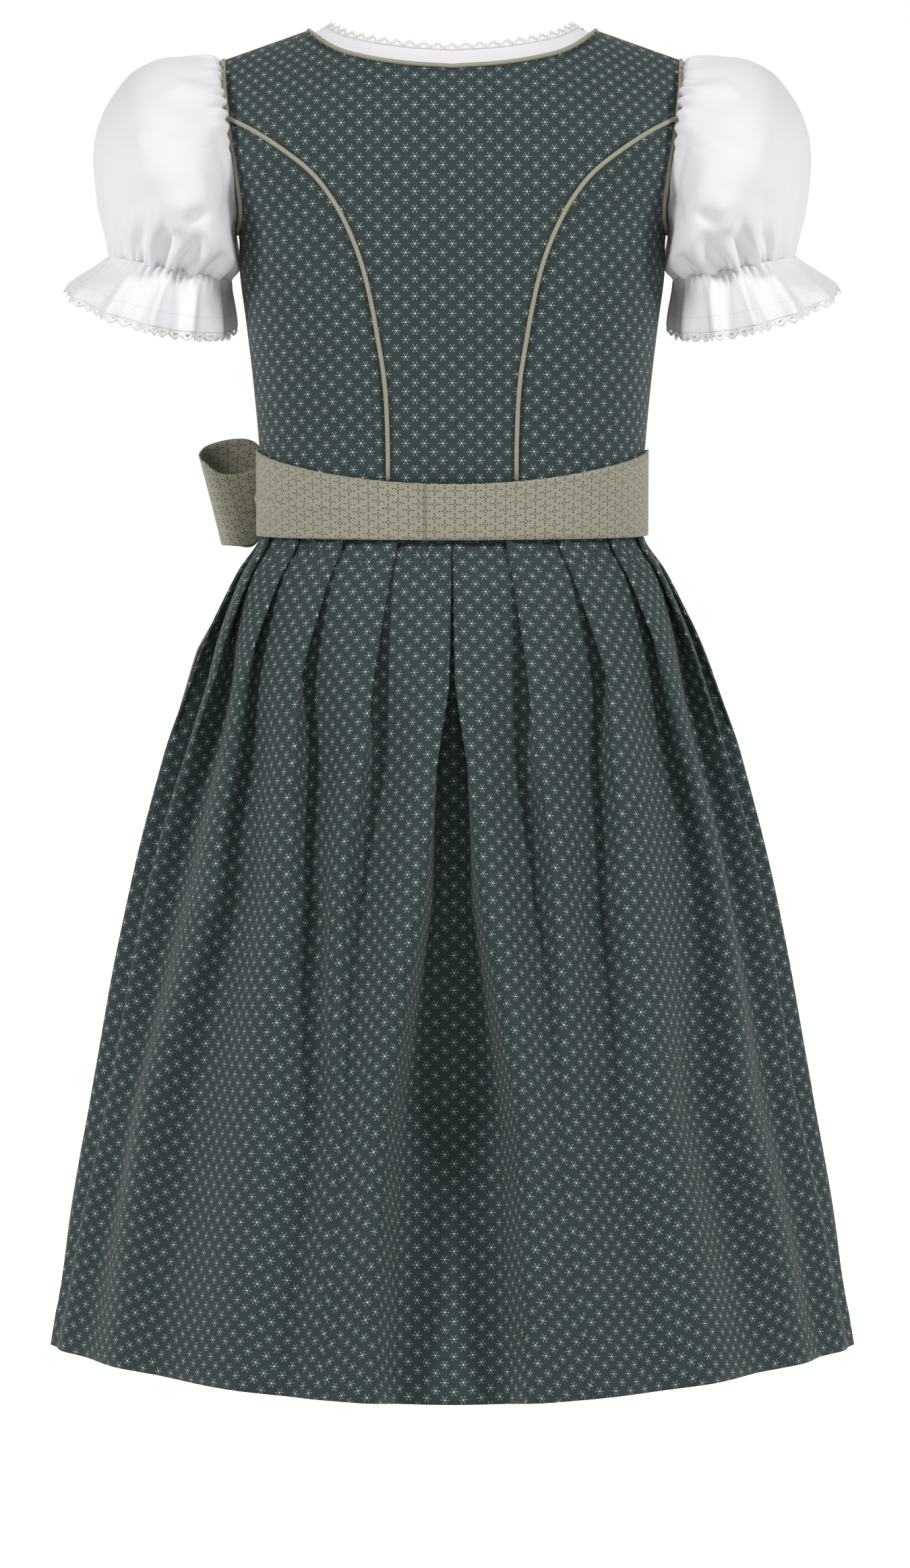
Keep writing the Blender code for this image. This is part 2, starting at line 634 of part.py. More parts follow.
def band_rows(start, end, count, lift_at):
    turns, xs, ys, arcs = ring_curve(BAND_HALF_WIDTH, BAND_BACK, BAND_FRONT, BAND_SQUARENESS)
    rows = []
    for share in (0.0, 0.5, 1.0):
        row = []
        for i in range(count + 1):
            degrees = mix(start, end, i / count)
            turn = math.radians(degrees % 360)
            lift = lift_at(degrees) + BAND_FLARE * abs(math.sin(2 * turn)) * max(0.0, 1 - 2 * share)
            x, y = np.interp(turn, turns, xs), np.interp(turn, turns, ys)
            away = np.array((x / BAND_HALF_WIDTH**2, y / BAND_BACK**2))
            away /= np.linalg.norm(away)
            z = mix(band_top(degrees), BAND_BOTTOM, share)
            row.append((x + away[0] * lift, y + away[1] * lift, z))
        rows.append(row)
    return rows


def overlap_lift(degrees):
    """The right tie climbs over the end of the left one."""
    t = min(max((degrees - 3.0) / 14.0, 0.0), 1.0)
    return OVERLAP_LIFT * (1 - t * t * (3 - 2 * t))


def build_band():
    rows = band_rows(TIE_END, 93.0, 18, overlap_lift)
    wall("tie_back_right", rows, "apron_cotton", TIE_CLOTH)
    rows = band_rows(-122.0, 1.0, 20, lambda degrees: 0.0)
    wall("tie_back_left", rows, "apron_cotton", TIE_CLOTH)
    rows = band_rows(93.4, 237.6, 22, lambda degrees: 0.0)
    wall("waistband", rows, "apron_cotton", TIE_CLOTH)


Loop = namedtuple("Loop", "along away top bottom")
# One bow loop: out from the knot along the outer layer, round the tip and back along the inner.
LOOP = [
    Loop(0.006, 0.010, -0.2710, -0.2965), Loop(0.020, 0.019, -0.2495, -0.3020),
    Loop(0.040, 0.024, -0.2490, -0.3140), Loop(0.055, 0.022, -0.2535, -0.3170),
    Loop(0.062, 0.014, -0.2590, -0.3180), Loop(0.061, 0.006, -0.2638, -0.3180),
    Loop(0.052, 0.002, -0.2700, -0.3185), Loop(0.036, 0.001, -0.2700, -0.3190),
    Loop(0.020, 0.002, -0.2650, -0.3075),
    Loop(0.006, 0.005, -0.2730, -0.2960),
]
LoopSet = namedtuple("LoopSet", "degrees nearer")
LOOPS = {"l": LoopSet(-152.0, 0.0), "r": LoopSet(36.0, 0.0007)}
LOOP_ROOT_ALONG, LOOP_ROOT_AWAY = 0.0055, 0.0075
LOOP_LEAN = 4.4
KNOT_DEPTH, KNOT_WIDTH, KNOT_BOTTOM = 0.0062, 0.0085, -0.302
KNOT_OUT = KNOT_DEPTH + TIE_CLOTH + SEAM_GAP
Tail = namedtuple("Tail", "degrees length shift lift")
TAILS = {"l": Tail(-121.0, 0.215, 0.0055, 0.0), "r": Tail(-134.0, 0.190, -0.0055, 0.0045)}
TAIL_ROOT_HALF, TAIL_HALF = 0.0045, 0.023
TAIL_ROOT_LIFT, TAIL_LIFT = 0.0131, 0.0140


def knot_place():
    turn = math.radians(KNOT_ANGLE)
    x = BAND_HALF_WIDTH * math.sin(turn)
    y = -BAND_FRONT * math.copysign(abs(math.cos(turn)) ** BAND_SQUARENESS, math.cos(turn))
    return x, y


def build_bow():
    x, y = knot_place()
    outward = np.array((x, y)) / math.hypot(x, y)
    centre = np.array((x, y)) + outward * KNOT_OUT
    for label, loop in LOOPS.items():
        heading = math.radians(loop.degrees)
        along = np.array((math.cos(heading), math.sin(heading)))
        away = np.array((-along[1], along[0]))
        away *= math.copysign(1.0, np.dot(away, outward))
        across = np.array((-outward[1], outward[0]))
        across *= math.copysign(1.0, np.dot(across, along))
        root = centre + across * (KNOT_WIDTH + TIE_CLOTH + SEAM_GAP - loop.nearer)
        rows = []
        for share in (0.0, 0.5, 1.0):
            row = []
            for p in LOOP:
                reach = p.along * (1 - LOOP_LEAN * p.along * share) - LOOP_ROOT_ALONG
                flat = root + along * reach + away * (p.away - LOOP_ROOT_AWAY)
                row.append((*flat, mix(p.top, p.bottom, share)))
            rows.append(row)
        wall("bow_loop_" + label, rows, "apron_cotton", TIE_CLOTH)
    build_knot(centre, outward)
    for label, tail in TAILS.items():
        build_tail(label, tail)


def build_knot(centre, outward):
    """The knot is a short folded tube of the tie's cloth, wrapped round the loops' roots."""
    across = np.array((-outward[1], outward[0]))
    rows = []
    for height, pinch in ((-0.270, 0.80), (-0.279, 1.0), (-0.292, 1.0), (KNOT_BOTTOM, 0.80)):
        row = []
        for i in range(10):
            turn = 2 * math.pi * i / 10
            flat = centre + outward * KNOT_DEPTH * pinch * math.cos(turn)
            flat = flat + across * KNOT_WIDTH * pinch * math.sin(turn)
            row.append((*flat, height))
        rows.append(row)
    wall("bow_knot", rows, "apron_cotton", TIE_CLOTH, round_body=True)


def build_tail(label, tail):
    """A tie's end: gathered narrow under the knot, then spread flat over the apron."""
    rows = []
    for t in (0.0, 0.04, 0.12, 0.3, 0.5, 0.75, 1.0):
        spread = min(2.5 * t, 1.0)
        z = KNOT_BOTTOM - 0.001 - tail.length * t
        ring = Ring(z)
        middle = ring.arc_at(mix(KNOT_ANGLE, tail.degrees, spread) % 360) + tail.shift * (1 - spread)
        half = mix(TAIL_ROOT_HALF, TAIL_HALF, spread)
        hang = front_lift(z) + TAIL_LIFT + tail.lift * min(t / 0.04, 1.0)
        row = []
        for share in (-1.0, -0.33, 0.33, 1.0):
            fold = 0.003 * spread * (1 - abs(share))
            lift = mix(TAIL_ROOT_LIFT, hang, min(t / 0.12, 1.0)) + fold
            row.append(ring.point(middle + share * half, lift))
        rows.append(row)
    wall("bow_tail_" + label, rows, "apron_cotton", TIE_CLOTH)


# ---- Sleeves, ruffles and their lace -------------------------------------------------------
def sleeve_start(side, turn, out):
    """The sleeve's seam: the blouse's own armhole edge, a little further out, rounded below."""
    face = BACK if math.sin(turn) >= 0 else FRONT
    z = mix(SEAM_BOTTOM, SHOULDER_TIP[1] - BLOUSE_INSET, (1 + math.cos(turn)) / 2)
    edge_z = max(z, SEAM_ROUND)
    point = torso_point(side * outer_x(edge_z, -BLOUSE_INSET), edge_z, face, -BLOUSE_INSET)
    point[1] *= math.sqrt(1 - ((edge_z - z) / (SEAM_ROUND - SEAM_BOTTOM)) ** 2)
    return np.array((point[0] + side * out, point[1], z))


def sleeve_row(side, row, number, seam_share):
    points = []
    middle = ((row.top_x + row.under_x) / 2, (row.top_z + row.under_z) / 2)
    reach = ((row.top_x - row.under_x) / 2, (row.top_z - row.under_z) / 2)
    for i in range(SLEEVE_POINTS):
        turn = 2 * math.pi * (i + 0.5) / SLEEVE_POINTS
        gather = row.gather * math.cos(SLEEVE_GATHERS * turn + 0.6 * number)
        grow = 1 + gather / 0.055
        cosine, sine = math.cos(turn), math.sin(turn)
        across = cosine if cosine > 0 else -(abs(cosine) ** row.flat)
        x = middle[0] + reach[0] * across * grow - row.pull * abs(sine) ** 0.7
        z = middle[1] + reach[1] * cosine * grow
        free = np.array((side * x, -row.half_depth * sine * grow, z))
        points.append(mix(free, sleeve_start(side, turn, SLEEVE_SEAT), seam_share))
    return points


def build_sleeves():
    for label, side in SIDES:
        rows = [
            sleeve_row(side, row, number, 1.0 if number == 0 else 0.0)
            for number, row in enumerate(SLEEVE)
        ]
        wall("sleeve_" + label, rows, "blouse_cotton", BLOUSE_CLOTH, round_body=True)


def ruffle_row(side, row):
    count = RUFFLE_WAVES * POINTS_PER_WAVE
    middle = ((row.outer_x + row.inner_x) / 2, (row.outer_z + row.inner_z) / 2)
    reach = ((row.outer_x - row.inner_x) / 2, (row.outer_z - row.inner_z) / 2)
    points = []
    for i in range(count):
        turn = 2 * math.pi * i / count
        outward = 0.35 + 0.65 * math.sin(turn / 2 + math.pi / 2) ** 2
        wave = row.wave * math.cos(RUFFLE_WAVES * turn) * outward
        grow = 1 + wave / 0.052
        x = middle[0] + reach[0] * math.cos(turn) * grow
        z = middle[1] + reach[1] * math.cos(turn) - row.sag * abs(math.sin(turn))
        points.append((side * x, -row.half_depth * math.sin(turn) * grow, z))
    return points


def build_ruffles():
    for label, side in SIDES:
        rows = [ruffle_row(side, row) for row in RUFFLE]
        wall("sleeve_ruffle_" + label, rows, "blouse_cotton", BLOUSE_CLOTH, round_body=True)
        rows = [ruffle_row(side, row) for row in RUFFLE_LACE]
        wall("lace_cuff_" + label, rows, "lace", LACE_CLOTH, round_body=True)


clear_scene()
GARMENT = new_collection("Dirndl dress")
build_bodice()
build_blouse()
build_piping()
build_buttons()
build_skirt()
build_apron()
build_band()
build_bow()
build_sleeves()
build_ruffles()
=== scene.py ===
import math
from collections import namedtuple

import bpy
import bmesh
import numpy as np
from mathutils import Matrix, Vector


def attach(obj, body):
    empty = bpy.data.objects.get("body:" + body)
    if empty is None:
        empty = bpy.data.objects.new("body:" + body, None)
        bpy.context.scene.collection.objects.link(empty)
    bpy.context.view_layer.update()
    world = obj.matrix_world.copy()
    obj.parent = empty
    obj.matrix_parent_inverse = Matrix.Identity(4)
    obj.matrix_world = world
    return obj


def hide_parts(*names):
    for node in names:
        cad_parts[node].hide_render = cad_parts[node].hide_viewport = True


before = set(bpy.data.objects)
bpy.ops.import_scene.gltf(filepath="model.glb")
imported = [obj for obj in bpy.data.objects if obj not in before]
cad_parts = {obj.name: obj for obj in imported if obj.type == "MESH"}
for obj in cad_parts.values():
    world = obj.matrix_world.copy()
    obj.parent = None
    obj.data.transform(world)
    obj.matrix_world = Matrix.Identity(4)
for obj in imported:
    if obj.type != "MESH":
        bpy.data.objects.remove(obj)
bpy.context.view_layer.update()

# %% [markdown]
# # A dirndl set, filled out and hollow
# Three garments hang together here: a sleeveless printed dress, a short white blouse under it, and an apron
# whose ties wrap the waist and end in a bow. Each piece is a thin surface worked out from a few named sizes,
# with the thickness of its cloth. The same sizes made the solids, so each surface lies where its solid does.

SEAM_GAP, HALF_SEAM = 0.0006, 0.0003
BACK, FRONT, LEFT, RIGHT = -1, 1, -1, 1
FACES, SIDES = (("back", BACK), ("front", FRONT)), (("l", LEFT), ("r", RIGHT))
# Where the waves of each sleeve and ruffle start, so that the two sides differ.
UNEVEN = {LEFT: 0.4, RIGHT: 0.9}


def new_object(name, data):
    """An object in the scene, with its origin at 0."""
    made = bpy.data.objects.new(name, data)
    bpy.context.scene.collection.objects.link(made)
    return made


# %% [markdown]
# ## Camera
# The dress is looked at from behind, from 3.5 m away, tilted down a little. A long lens from that far keeps
# the hem's curve shallow.

# %% Camera
camera_data = bpy.data.cameras.new("Studio camera")
camera_data.lens, camera_data.sensor_width = 122.0, 36.0
camera = new_object("Studio camera", camera_data)
camera.location = (0.0018, -3.5, -0.17)
camera.rotation_euler = (math.radians(90 - 4.972), 0.0, 0.0)
bpy.context.scene.camera = camera
print("camera", tuple(round(v, 3) for v in camera.location))

# %% [markdown]
# ## Tools for cloth
# A curve through a short table gives each size at any height. A piece of cloth is then a grid of points,
# down and across, and its UV map holds the same grid in metres of flat cloth, so that a print keeps its real
# size on it. Solidify gives the thickness, half to each side of the surface.

# %% Curves through tables
def mix(a, b, t):
    return a + (b - a) * t


def smooth_step(t):
    t = np.clip(t, 0.0, 1.0)
    return t * t * (3 - 2 * t)


def bell(x, middle, reach):
    return np.exp(-(((x - middle) / reach) ** 2))


def turns_of(count, shift=0.0):
    """Angles once round, in equal steps."""
    return math.tau * (np.arange(count) + shift) / count


def hermite(t, a, b, leaving, arriving):
    """From a to b, with the change per step that it leaves and arrives with."""
    start = (1 + 2 * t) * (1 - t) ** 2 * a + t * (1 - t) ** 2 * leaving
    return start + t * t * (3 - 2 * t) * b + t * t * (t - 1) * arriving


def smooth_curve(xs, ys):
    """A smooth curve through points, for a number or an array."""
    order = np.argsort(xs)
    xs, ys = np.array(xs, float)[order], np.array(ys, float)[order]
    slopes = np.gradient(ys, xs)

    def at(x):
        x = np.clip(x, xs[0], xs[-1])
        i = np.clip(np.searchsorted(xs, x) - 1, 0, len(xs) - 2)
        span = xs[i + 1] - xs[i]
        return hermite((x - xs[i]) / span, ys[i], ys[i + 1], span * slopes[i], span * slopes[i + 1])

    return at


def rows(columns, *values):
    """A table: one row with named columns for each tuple."""
    kind = namedtuple("Row", columns)
    return [kind(*row) for row in values]


def lengths(columns, *values):
    """A table of lengths, written in millimetres and kept in metres."""
    return rows(columns, *([value / 1000 for value in row] for row in values))


def row_at(listed, read):
    """One row with the same columns, each read from a whole column's values."""
    return type(listed[0])(*map(read, zip(*listed)))


def table(listed, key, value):
    """The curve of one column against another."""
    return smooth_curve(*([getattr(row, column) for row in listed] for column in (key, value)))


def spread(values, steps):
    """The same values with steps - 1 more between each two."""
    return np.interp(np.arange((len(values) - 1) * steps + 1) / steps, np.arange(len(values)), values)


def rounded(points, steps):
    """A smooth line through each point, with steps - 1 more between each two."""
    path = np.concatenate([[2 * points[0] - points[1]], points, [2 * points[-1] - points[-2]]])
    gaps = np.maximum(np.linalg.norm(np.diff(path, axis=0), axis=1), 1e-6)[:, None]
    slopes = np.diff(path, axis=0) / gaps
    tangent = (slopes[:-1] * gaps[1:] + slopes[1:] * gaps[:-1]) / (gaps[1:] + gaps[:-1])
    t, span = (np.arange(steps) / steps)[None, :, None], gaps[1:-1, None]
    line = hermite(t, points[:-1, None], points[1:, None], span * tangent[:-1, None], span * tangent[1:, None])
    return np.concatenate([line.reshape(-1, points.shape[1]), points[-1:]])


def closed_line(line):
    return np.concatenate([line, line[:1]])


def middle_and_reach(a, b):
    return (a + b) / 2, (a - b) / 2


# %% Creases
CREASE, CREASE_BEND = "x1 z1 x2 z2 width depth", 0.10
CREASE_FADE = (1.35, 0.2)


def creases(x, z, laid):
    """Soft troughs and ridges, laid one by one: each runs from one place to another and fades at its ends."""
    height = np.zeros(np.broadcast(x, z).shape)
    for row in laid:
        length = math.hypot(row.x2 - row.x1, row.z2 - row.z1)
        cosine, sine = (row.x2 - row.x1) / length, (row.z2 - row.z1) / length
        run = ((x - row.x1) * cosine + (z - row.z1) * sine) / length
        off = (x - row.x1) * sine - (z - row.z1) * cosine - CREASE_BEND * length * (1 - (2 * run - 1) ** 2)
        steep, start = CREASE_FADE
        fade = smooth_step(steep * run + start) * smooth_step(steep * (1 - run) + start)
        height += row.depth * bell(off, 0, row.width) * fade
    return height


def wrapped(grid):
    """A closed grid with its first column again at the end."""
    return np.concatenate([grid, grid[:, :1]], axis=1)


def unit(vectors):
    return vectors / np.maximum(np.linalg.norm(vectors, axis=-1, keepdims=True), 1e-12)


def away_from(grid, centre, closed=False):
    """Unit normals of a grid of points that point away from a centre, or from a line of centres."""
    across = np.roll(grid, -1, axis=1) - np.roll(grid, 1, axis=1) if closed else np.gradient(grid, axis=1)
    normal = unit(np.cross(np.gradient(grid, axis=0), across))
    return normal if (normal * (grid - centre)).sum() > 0 else -normal


# %% Cloth from a grid
def flat_lengths(grid, axis):
    steps = np.linalg.norm(np.diff(grid, axis=axis), axis=2)
    return np.insert(np.cumsum(steps, axis=axis), 0, 0.0, axis=axis)


def grid_mesh(name, grid, closed=False, flat=None, repeat=None):
    """A mesh of quads through a grid of points, with a UV map in metres of cloth. A repeat closes the print."""
    grid = np.array(grid, float)
    down, across = grid.shape[:2]
    i, j = np.meshgrid(np.arange(down - 1), np.arange(across - 1 + closed), indexing="ij")
    quads = [(i, j), (i, j + 1), (i + 1, j + 1), (i + 1, j)]
    corners = np.stack([row * across + column % across for row, column in quads])
    mesh = bpy.data.meshes.new(name)
    mesh.from_pydata(grid.reshape(-1, 3).tolist(), [], corners.reshape(4, -1).T.tolist())
    if flat is None:
        us, vs = (flat_lengths(wrapped(grid) if closed else grid, axis) for axis in (1, 0))
        width = np.median(us[:, -1])
        if repeat:
            width = repeat * round(width / repeat)
        us = us * width / us[:, -1:]
        flat = np.stack([us - us.mean(), -vs], axis=2)
    places = np.stack([flat[corner] for corner in quads], axis=2)
    mesh.uv_layers.new(name="cloth").data.foreach_set("uv", places.reshape(-1).astype(np.float32))
    mesh.shade_smooth()
    return mesh


def closed_up(mesh, weld=False):
    """Fills the holes at a mesh's ends, or welds the ends to each other, and turns its faces outwards."""
    work = bmesh.new()
    work.from_mesh(mesh)
    if weld:
        bmesh.ops.remove_doubles(work, verts=work.verts, dist=1e-6)
    else:
        bmesh.ops.holes_fill(work, edges=[e for e in work.edges if e.is_boundary], sides=0)
    bmesh.ops.recalc_face_normals(work, faces=work.faces)
    work.to_mesh(mesh)
    work.free()
    return mesh


def add_piece(name, mesh, finish, node=None):
    """A piece of the garment: linked, riding on the body, and standing for its solid."""
    made = new_object(name, mesh)
    mesh.materials.clear()
    mesh.materials.append(finish)
    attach(made, "root")
    if node:
        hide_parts(node)
    return made


Fabric = namedtuple("Fabric", "finish slot thickness")


def cloth(name, grid, fabric, node, closed=False, flat=None, repeat=None):
    """One cut piece of cloth: the grid's surface with its thickness."""
    made = add_piece(name, grid_mesh(name, grid, closed, flat, repeat), fabric.finish, node)
    uv = np.zeros(len(made.data.loops) * 2, np.float32)
    made.data.uv_layers["cloth"].data.foreach_get("uv", uv)
    solid = made.modifiers.new("Cloth thickness", "SOLIDIFY")
    solid.thickness, solid.offset = fabric.thickness, 0.0


# %% [markdown]
# ## Finishes
# Each material is one cloth of the set. Prints are drawn by sums on the UV map, which is in metres, so they
# keep their real size and stay sharp at any distance. Constant values are set on the shader itself.

# %% Node tools
def linear(hex_colour):
    """A colour from its usual six-digit code, as the shader wants it."""
    parts = [int(hex_colour[i : i + 2], 16) / 255 for i in (0, 2, 4)]
    return (*[p / 12.92 if p <= 0.04045 else ((p + 0.055) / 1.055) ** 2.4 for p in parts], 1.0)


def feed(tree, node, inputs):
    """Sets inputs, by name or number, to values, to sockets, or to nodes, whose first output is meant."""
    for key, value in inputs.items():
        if isinstance(value, bpy.types.Node):
            value = value.outputs[0]
        if isinstance(value, bpy.types.NodeSocket):
            tree.links.new(value, node.inputs[key])
        else:
            node.inputs[key].default_value = value


def add(tree, kind, inputs=None, **settings):
    """Adds a node with its settings and its inputs."""
    made = tree.nodes.new(kind)
    for name, value in settings.items():
        setattr(made, name, value)
    feed(tree, made, inputs or {})
    return made


def sums(tree, known, steps):
    """A Math node for each step (name, operation, a, b ...). Names that start with mask stay from 0 to 1."""
    for name, operation, *values in steps:
        inputs = {i: known[v] if isinstance(v, str) else v for i, v in enumerate(values)}
        known[name] = add(tree, "ShaderNodeMath", inputs, operation=operation, use_clamp=name.startswith("mask"))


def blend(tree, share, a, b, kind="MIX"):
    return add(tree, "ShaderNodeMix", {"Factor": share, 6: a, 7: b}, data_type="RGBA", blend_type=kind).outputs[2]


def noise(tree, place, scale):
    return add(tree, "ShaderNodeTexNoise", {"Vector": place, "Scale": scale, "Detail": 2.0})


def material(name, values):
    made = bpy.data.materials.new(name)
    made.use_nodes = True
    tree = made.node_tree
    shader = tree.nodes["Principled BSDF"]
    feed(tree, shader, values)
    return made, tree, shader


def cloth_material(name, roughness, sheen):
    """A material with its shader set, and the flat cloth's x and y in metres ready to use."""
    values = {"Roughness": roughness, "Sheen Weight": sheen, "Sheen Roughness": 0.5, "IOR": 1.45}
    made, tree, shader = material(name, values)
    place = add(tree, "ShaderNodeUVMap", uv_map="cloth")
    parts = add(tree, "ShaderNodeSeparateXYZ", {0: place})
    return made, tree, shader, {"u": parts.outputs[0], "v": parts.outputs[1], "place": place}


def finish_cloth(tree, shader, known, colour, yarn, relief, mottle):
    """Weave: threads that cross, as a fine bump, and a slight unevenness of the dye."""
    known["slub"], known["cloud"] = noise(tree, known["place"], 900.0), noise(tree, known["place"], 18.0)
    sums(tree, known, [
        ("warp", "MULTIPLY", "u", math.tau / yarn), ("warp", "SINE", "warp"),
        ("weft", "MULTIPLY", "v", math.tau / yarn), ("weft", "SINE", "weft"),
        ("weave", "MULTIPLY", "warp", "weft"), ("height", "MULTIPLY_ADD", "weave", 0.25, "slub"),
        ("tone", "MULTIPLY_ADD", "slub", 2 * mottle, 1 - mottle),
        ("cloudtone", "MULTIPLY_ADD", "cloud", mottle, 1 - mottle / 2), ("tone", "MULTIPLY", "tone", "cloudtone"),
    ])
    bump = add(tree, "ShaderNodeBump", {"Strength": 0.5, "Distance": relief, "Height": known["height"]})
    feed(tree, shader, {"Base Color": blend(tree, 1.0, colour, known["tone"], "MULTIPLY"), "Normal": bump})


def lattice(across, down, shift):
    """Sums for x and y from the middle of a cell. A second lattice, half a cell over, fills the gaps."""
    steps = []
    for place, way, size in (("u", "x", across), ("v", "y", down)):
        steps += [(way, "MULTIPLY_ADD", place, 1 / size, shift), (way, "FRACT", way)]
        steps += [(way, "MULTIPLY_ADD", way, size, -size / 2)]
    return steps


# %% Printed dress cotton: pale six-armed stars on dark green-grey
STAR_ACROSS, STAR_DOWN = 0.0119, 0.0111
ARM_START, ARM_END, ARM_TAPER, ARM_ROOT, DOT = 0.00085, 0.0028, 0.105, 0.00006, 0.00056
EDGE = 0.00012
STAR = [
    ("xx", "MULTIPLY", "x", "x"), ("rr", "MULTIPLY_ADD", "y", "y", "xx"), ("r", "SQRT", "rr"),
    ("turn", "ARCTAN2", "y", "x"), ("turn", "MULTIPLY_ADD", "turn", 3 / math.pi, 12.5),
    ("turn", "FRACT", "turn"), ("turn", "SUBTRACT", "turn", 0.5), ("turn", "MULTIPLY", "turn", math.pi / 3),
    ("cos", "COSINE", "turn"), ("along", "MULTIPLY", "r", "cos"),
    ("sin", "SINE", "turn"), ("sin", "ABSOLUTE", "sin"), ("off", "MULTIPLY", "r", "sin"),
    ("wide", "MULTIPLY_ADD", "along", ARM_TAPER, ARM_ROOT), ("side", "SUBTRACT", "wide", "off"),
    ("mask_side", "MULTIPLY_ADD", "side", 1 / EDGE, 0.5),
    ("mask_in", "MULTIPLY_ADD", "along", 1 / EDGE, 0.5 - ARM_START / EDGE),
    ("mask_out", "MULTIPLY_ADD", "along", -1 / EDGE, 0.5 + ARM_END / EDGE),
    ("arm", "MULTIPLY", "mask_side", "mask_in"), ("arm", "MULTIPLY", "arm", "mask_out"),
    ("mask_dot", "MULTIPLY_ADD", "r", -1 / EDGE, 0.5 + DOT / EDGE),
]
dress_print, tree, shader, flat = cloth_material("Printed dress cotton, matt", 0.82, 0.10)
for number, shift in enumerate((0.0, 0.5)):
    sums(tree, flat, lattice(STAR_ACROSS, STAR_DOWN, shift) + STAR)
    flat[f"arm {number}"], flat[f"dot {number}"] = flat["arm"], flat["mask_dot"]
sums(tree, flat, [("arms", "MAXIMUM", "arm 0", "arm 1"), ("dots", "MAXIMUM", "dot 0", "dot 1")])
starred = blend(tree, flat["arms"], linear("303e3f"), linear("829a98"))
finish_cloth(tree, shader, flat, blend(tree, flat["dots"], starred, linear("e8e5d2")), 0.0006, 0.00006, 0.10)
print("star print:", STAR_ACROSS * 1000, "x", STAR_DOWN * 1000, "mm lattice")

# %% Apron and tie cotton: dotted crosses on khaki
CROSS_ACROSS, CROSS_DOWN, DOT_RADIUS = 0.0131, 0.0088, 0.00047
CROSS_DOTS = ((0.0, 0.0011), (0.0, 0.0027), (0.0014, 0.0), (0.0034, 0.0))
apron_print, tree, shader, flat = cloth_material("Printed apron cotton satin", 0.62, 0.12)
nearest = None
for shift in (0.0, 0.5):
    sums(tree, flat, lattice(CROSS_ACROSS, CROSS_DOWN, shift) + [("x", "ABSOLUTE", "x"), ("y", "ABSOLUTE", "y")])
    corner = add(tree, "ShaderNodeCombineXYZ", {0: flat["x"], 1: flat["y"]})
    for dot in CROSS_DOTS:
        far = add(tree, "ShaderNodeVectorMath", {0: corner, 1: (*dot, 0.0)}, operation="DISTANCE").outputs["Value"]
        nearest = add(tree, "ShaderNodeMath", {0: nearest, 1: far}, operation="MINIMUM") if nearest else far
flat["near"] = nearest
sums(tree, flat, [("mask_cross", "MULTIPLY_ADD", "near", -1 / EDGE, 0.5 + DOT_RADIUS / EDGE)])
crossed = blend(tree, flat["mask_cross"], linear("a19f8b"), linear("26291a"))
finish_cloth(tree, shader, flat, crossed, 0.0005, 0.00004, 0.05)
print("cross print:", CROSS_ACROSS * 1000, "x", CROSS_DOWN * 1000, "mm lattice")

# %% Plain cottons, thread and button
def plain_cloth(name, colour, roughness, sheen, yarn, relief, mottle):
    made, tree, shader, flat = cloth_material(name, roughness, sheen)
    finish_cloth(tree, shader, flat, linear(colour), yarn, relief, mottle)
    return made


def plain_finish(name, colour, roughness):
    """Thread, lace and buttons: an even colour with fine unevenness from Object coordinates."""
    made, tree, shader = material(name, {"Roughness": roughness})
    grain = noise(tree, add(tree, "ShaderNodeTexCoord").outputs["Object"], 1400.0)
    dark = (*[0.93 * v for v in linear(colour)[:3]], 1.0)
    bump = add(tree, "ShaderNodeBump", {"Strength": 0.4, "Distance": 0.0001, "Height": grain})
    feed(tree, shader, {"Base Color": blend(tree, grain, dark, linear(colour)), "Normal": bump})
    return made


blouse_cotton = plain_cloth("White cotton batiste", "f6f4f7", 0.80, 0.05, 0.0004, 0.00003, 0.01)
piping_cotton = plain_cloth("Khaki piping cotton", "a3a08c", 0.70, 0.10, 0.0004, 0.00005, 0.04)
lace_thread = plain_finish("White crochet cotton", "fbf9f9", 0.85)
dress_thread = plain_finish("Dark sewing thread", "2c3232", 0.6)
tie_thread = plain_finish("Khaki sewing thread", "8f8d78", 0.6)
white_thread = plain_finish("White sewing thread", "e2dfe0", 0.6)
horn_button = plain_finish("Horn-coloured button, semi-matt", "8d8672", 0.4)

DRESS, SKIRT_COTTON = Fabric(dress_print, "dress_cotton", 0.0010), Fabric(dress_print, "dress_cotton", 0.0009)
BLOUSE = Fabric(blouse_cotton, "blouse_cotton", 0.0008)
APRON, TIE = Fabric(apron_print, "apron_cotton", 0.0009), Fabric(apron_print, "apron_cotton", 0.0011)

# %% [markdown]
# ## The form inside the bodice
# The bodice is fitted, so its surface is the wearer's: a rounded section at each height, closing over the
# shoulders in an arch. A lift grows the form all over: the blouse's is negative, the piping's positive.

# %% Form tables
TORSO = lengths("height half_width back_depth front_depth",
    (-300, 122.2, 82.2, 81.5), (-270, 124.8, 83.8, 83.2), (-240, 127.2, 85.8, 86), (-206, 130.4, 88.5, 90),
    (-171, 134.5, 91.5, 95), (-136, 138.8, 94.5, 98.5), (-111, 139.5, 96, 98), (-80, 150, 96, 93),
    (-50, 159, 93, 86), (-20, 164, 86, 78), (45, 166, 70, 64),
)
SECTION_POWER, SHOULDER_ROUND, ARCH_POWER, ARCH_SHARPNESS = 2.3, 0.075, 1.7, 1.5
WAIST_SEAM, UNDERARM, PRINCESS_TOP = -0.2975, -0.111, -0.0403
ARMHOLE = lengths("height out",
    (-111, 139.5), (-95.4, 138.5), (-82, 139.9), (-61.1, 142.9), (-36.4, 147), (-18, 149.4), (-0.9, 150.7),
)
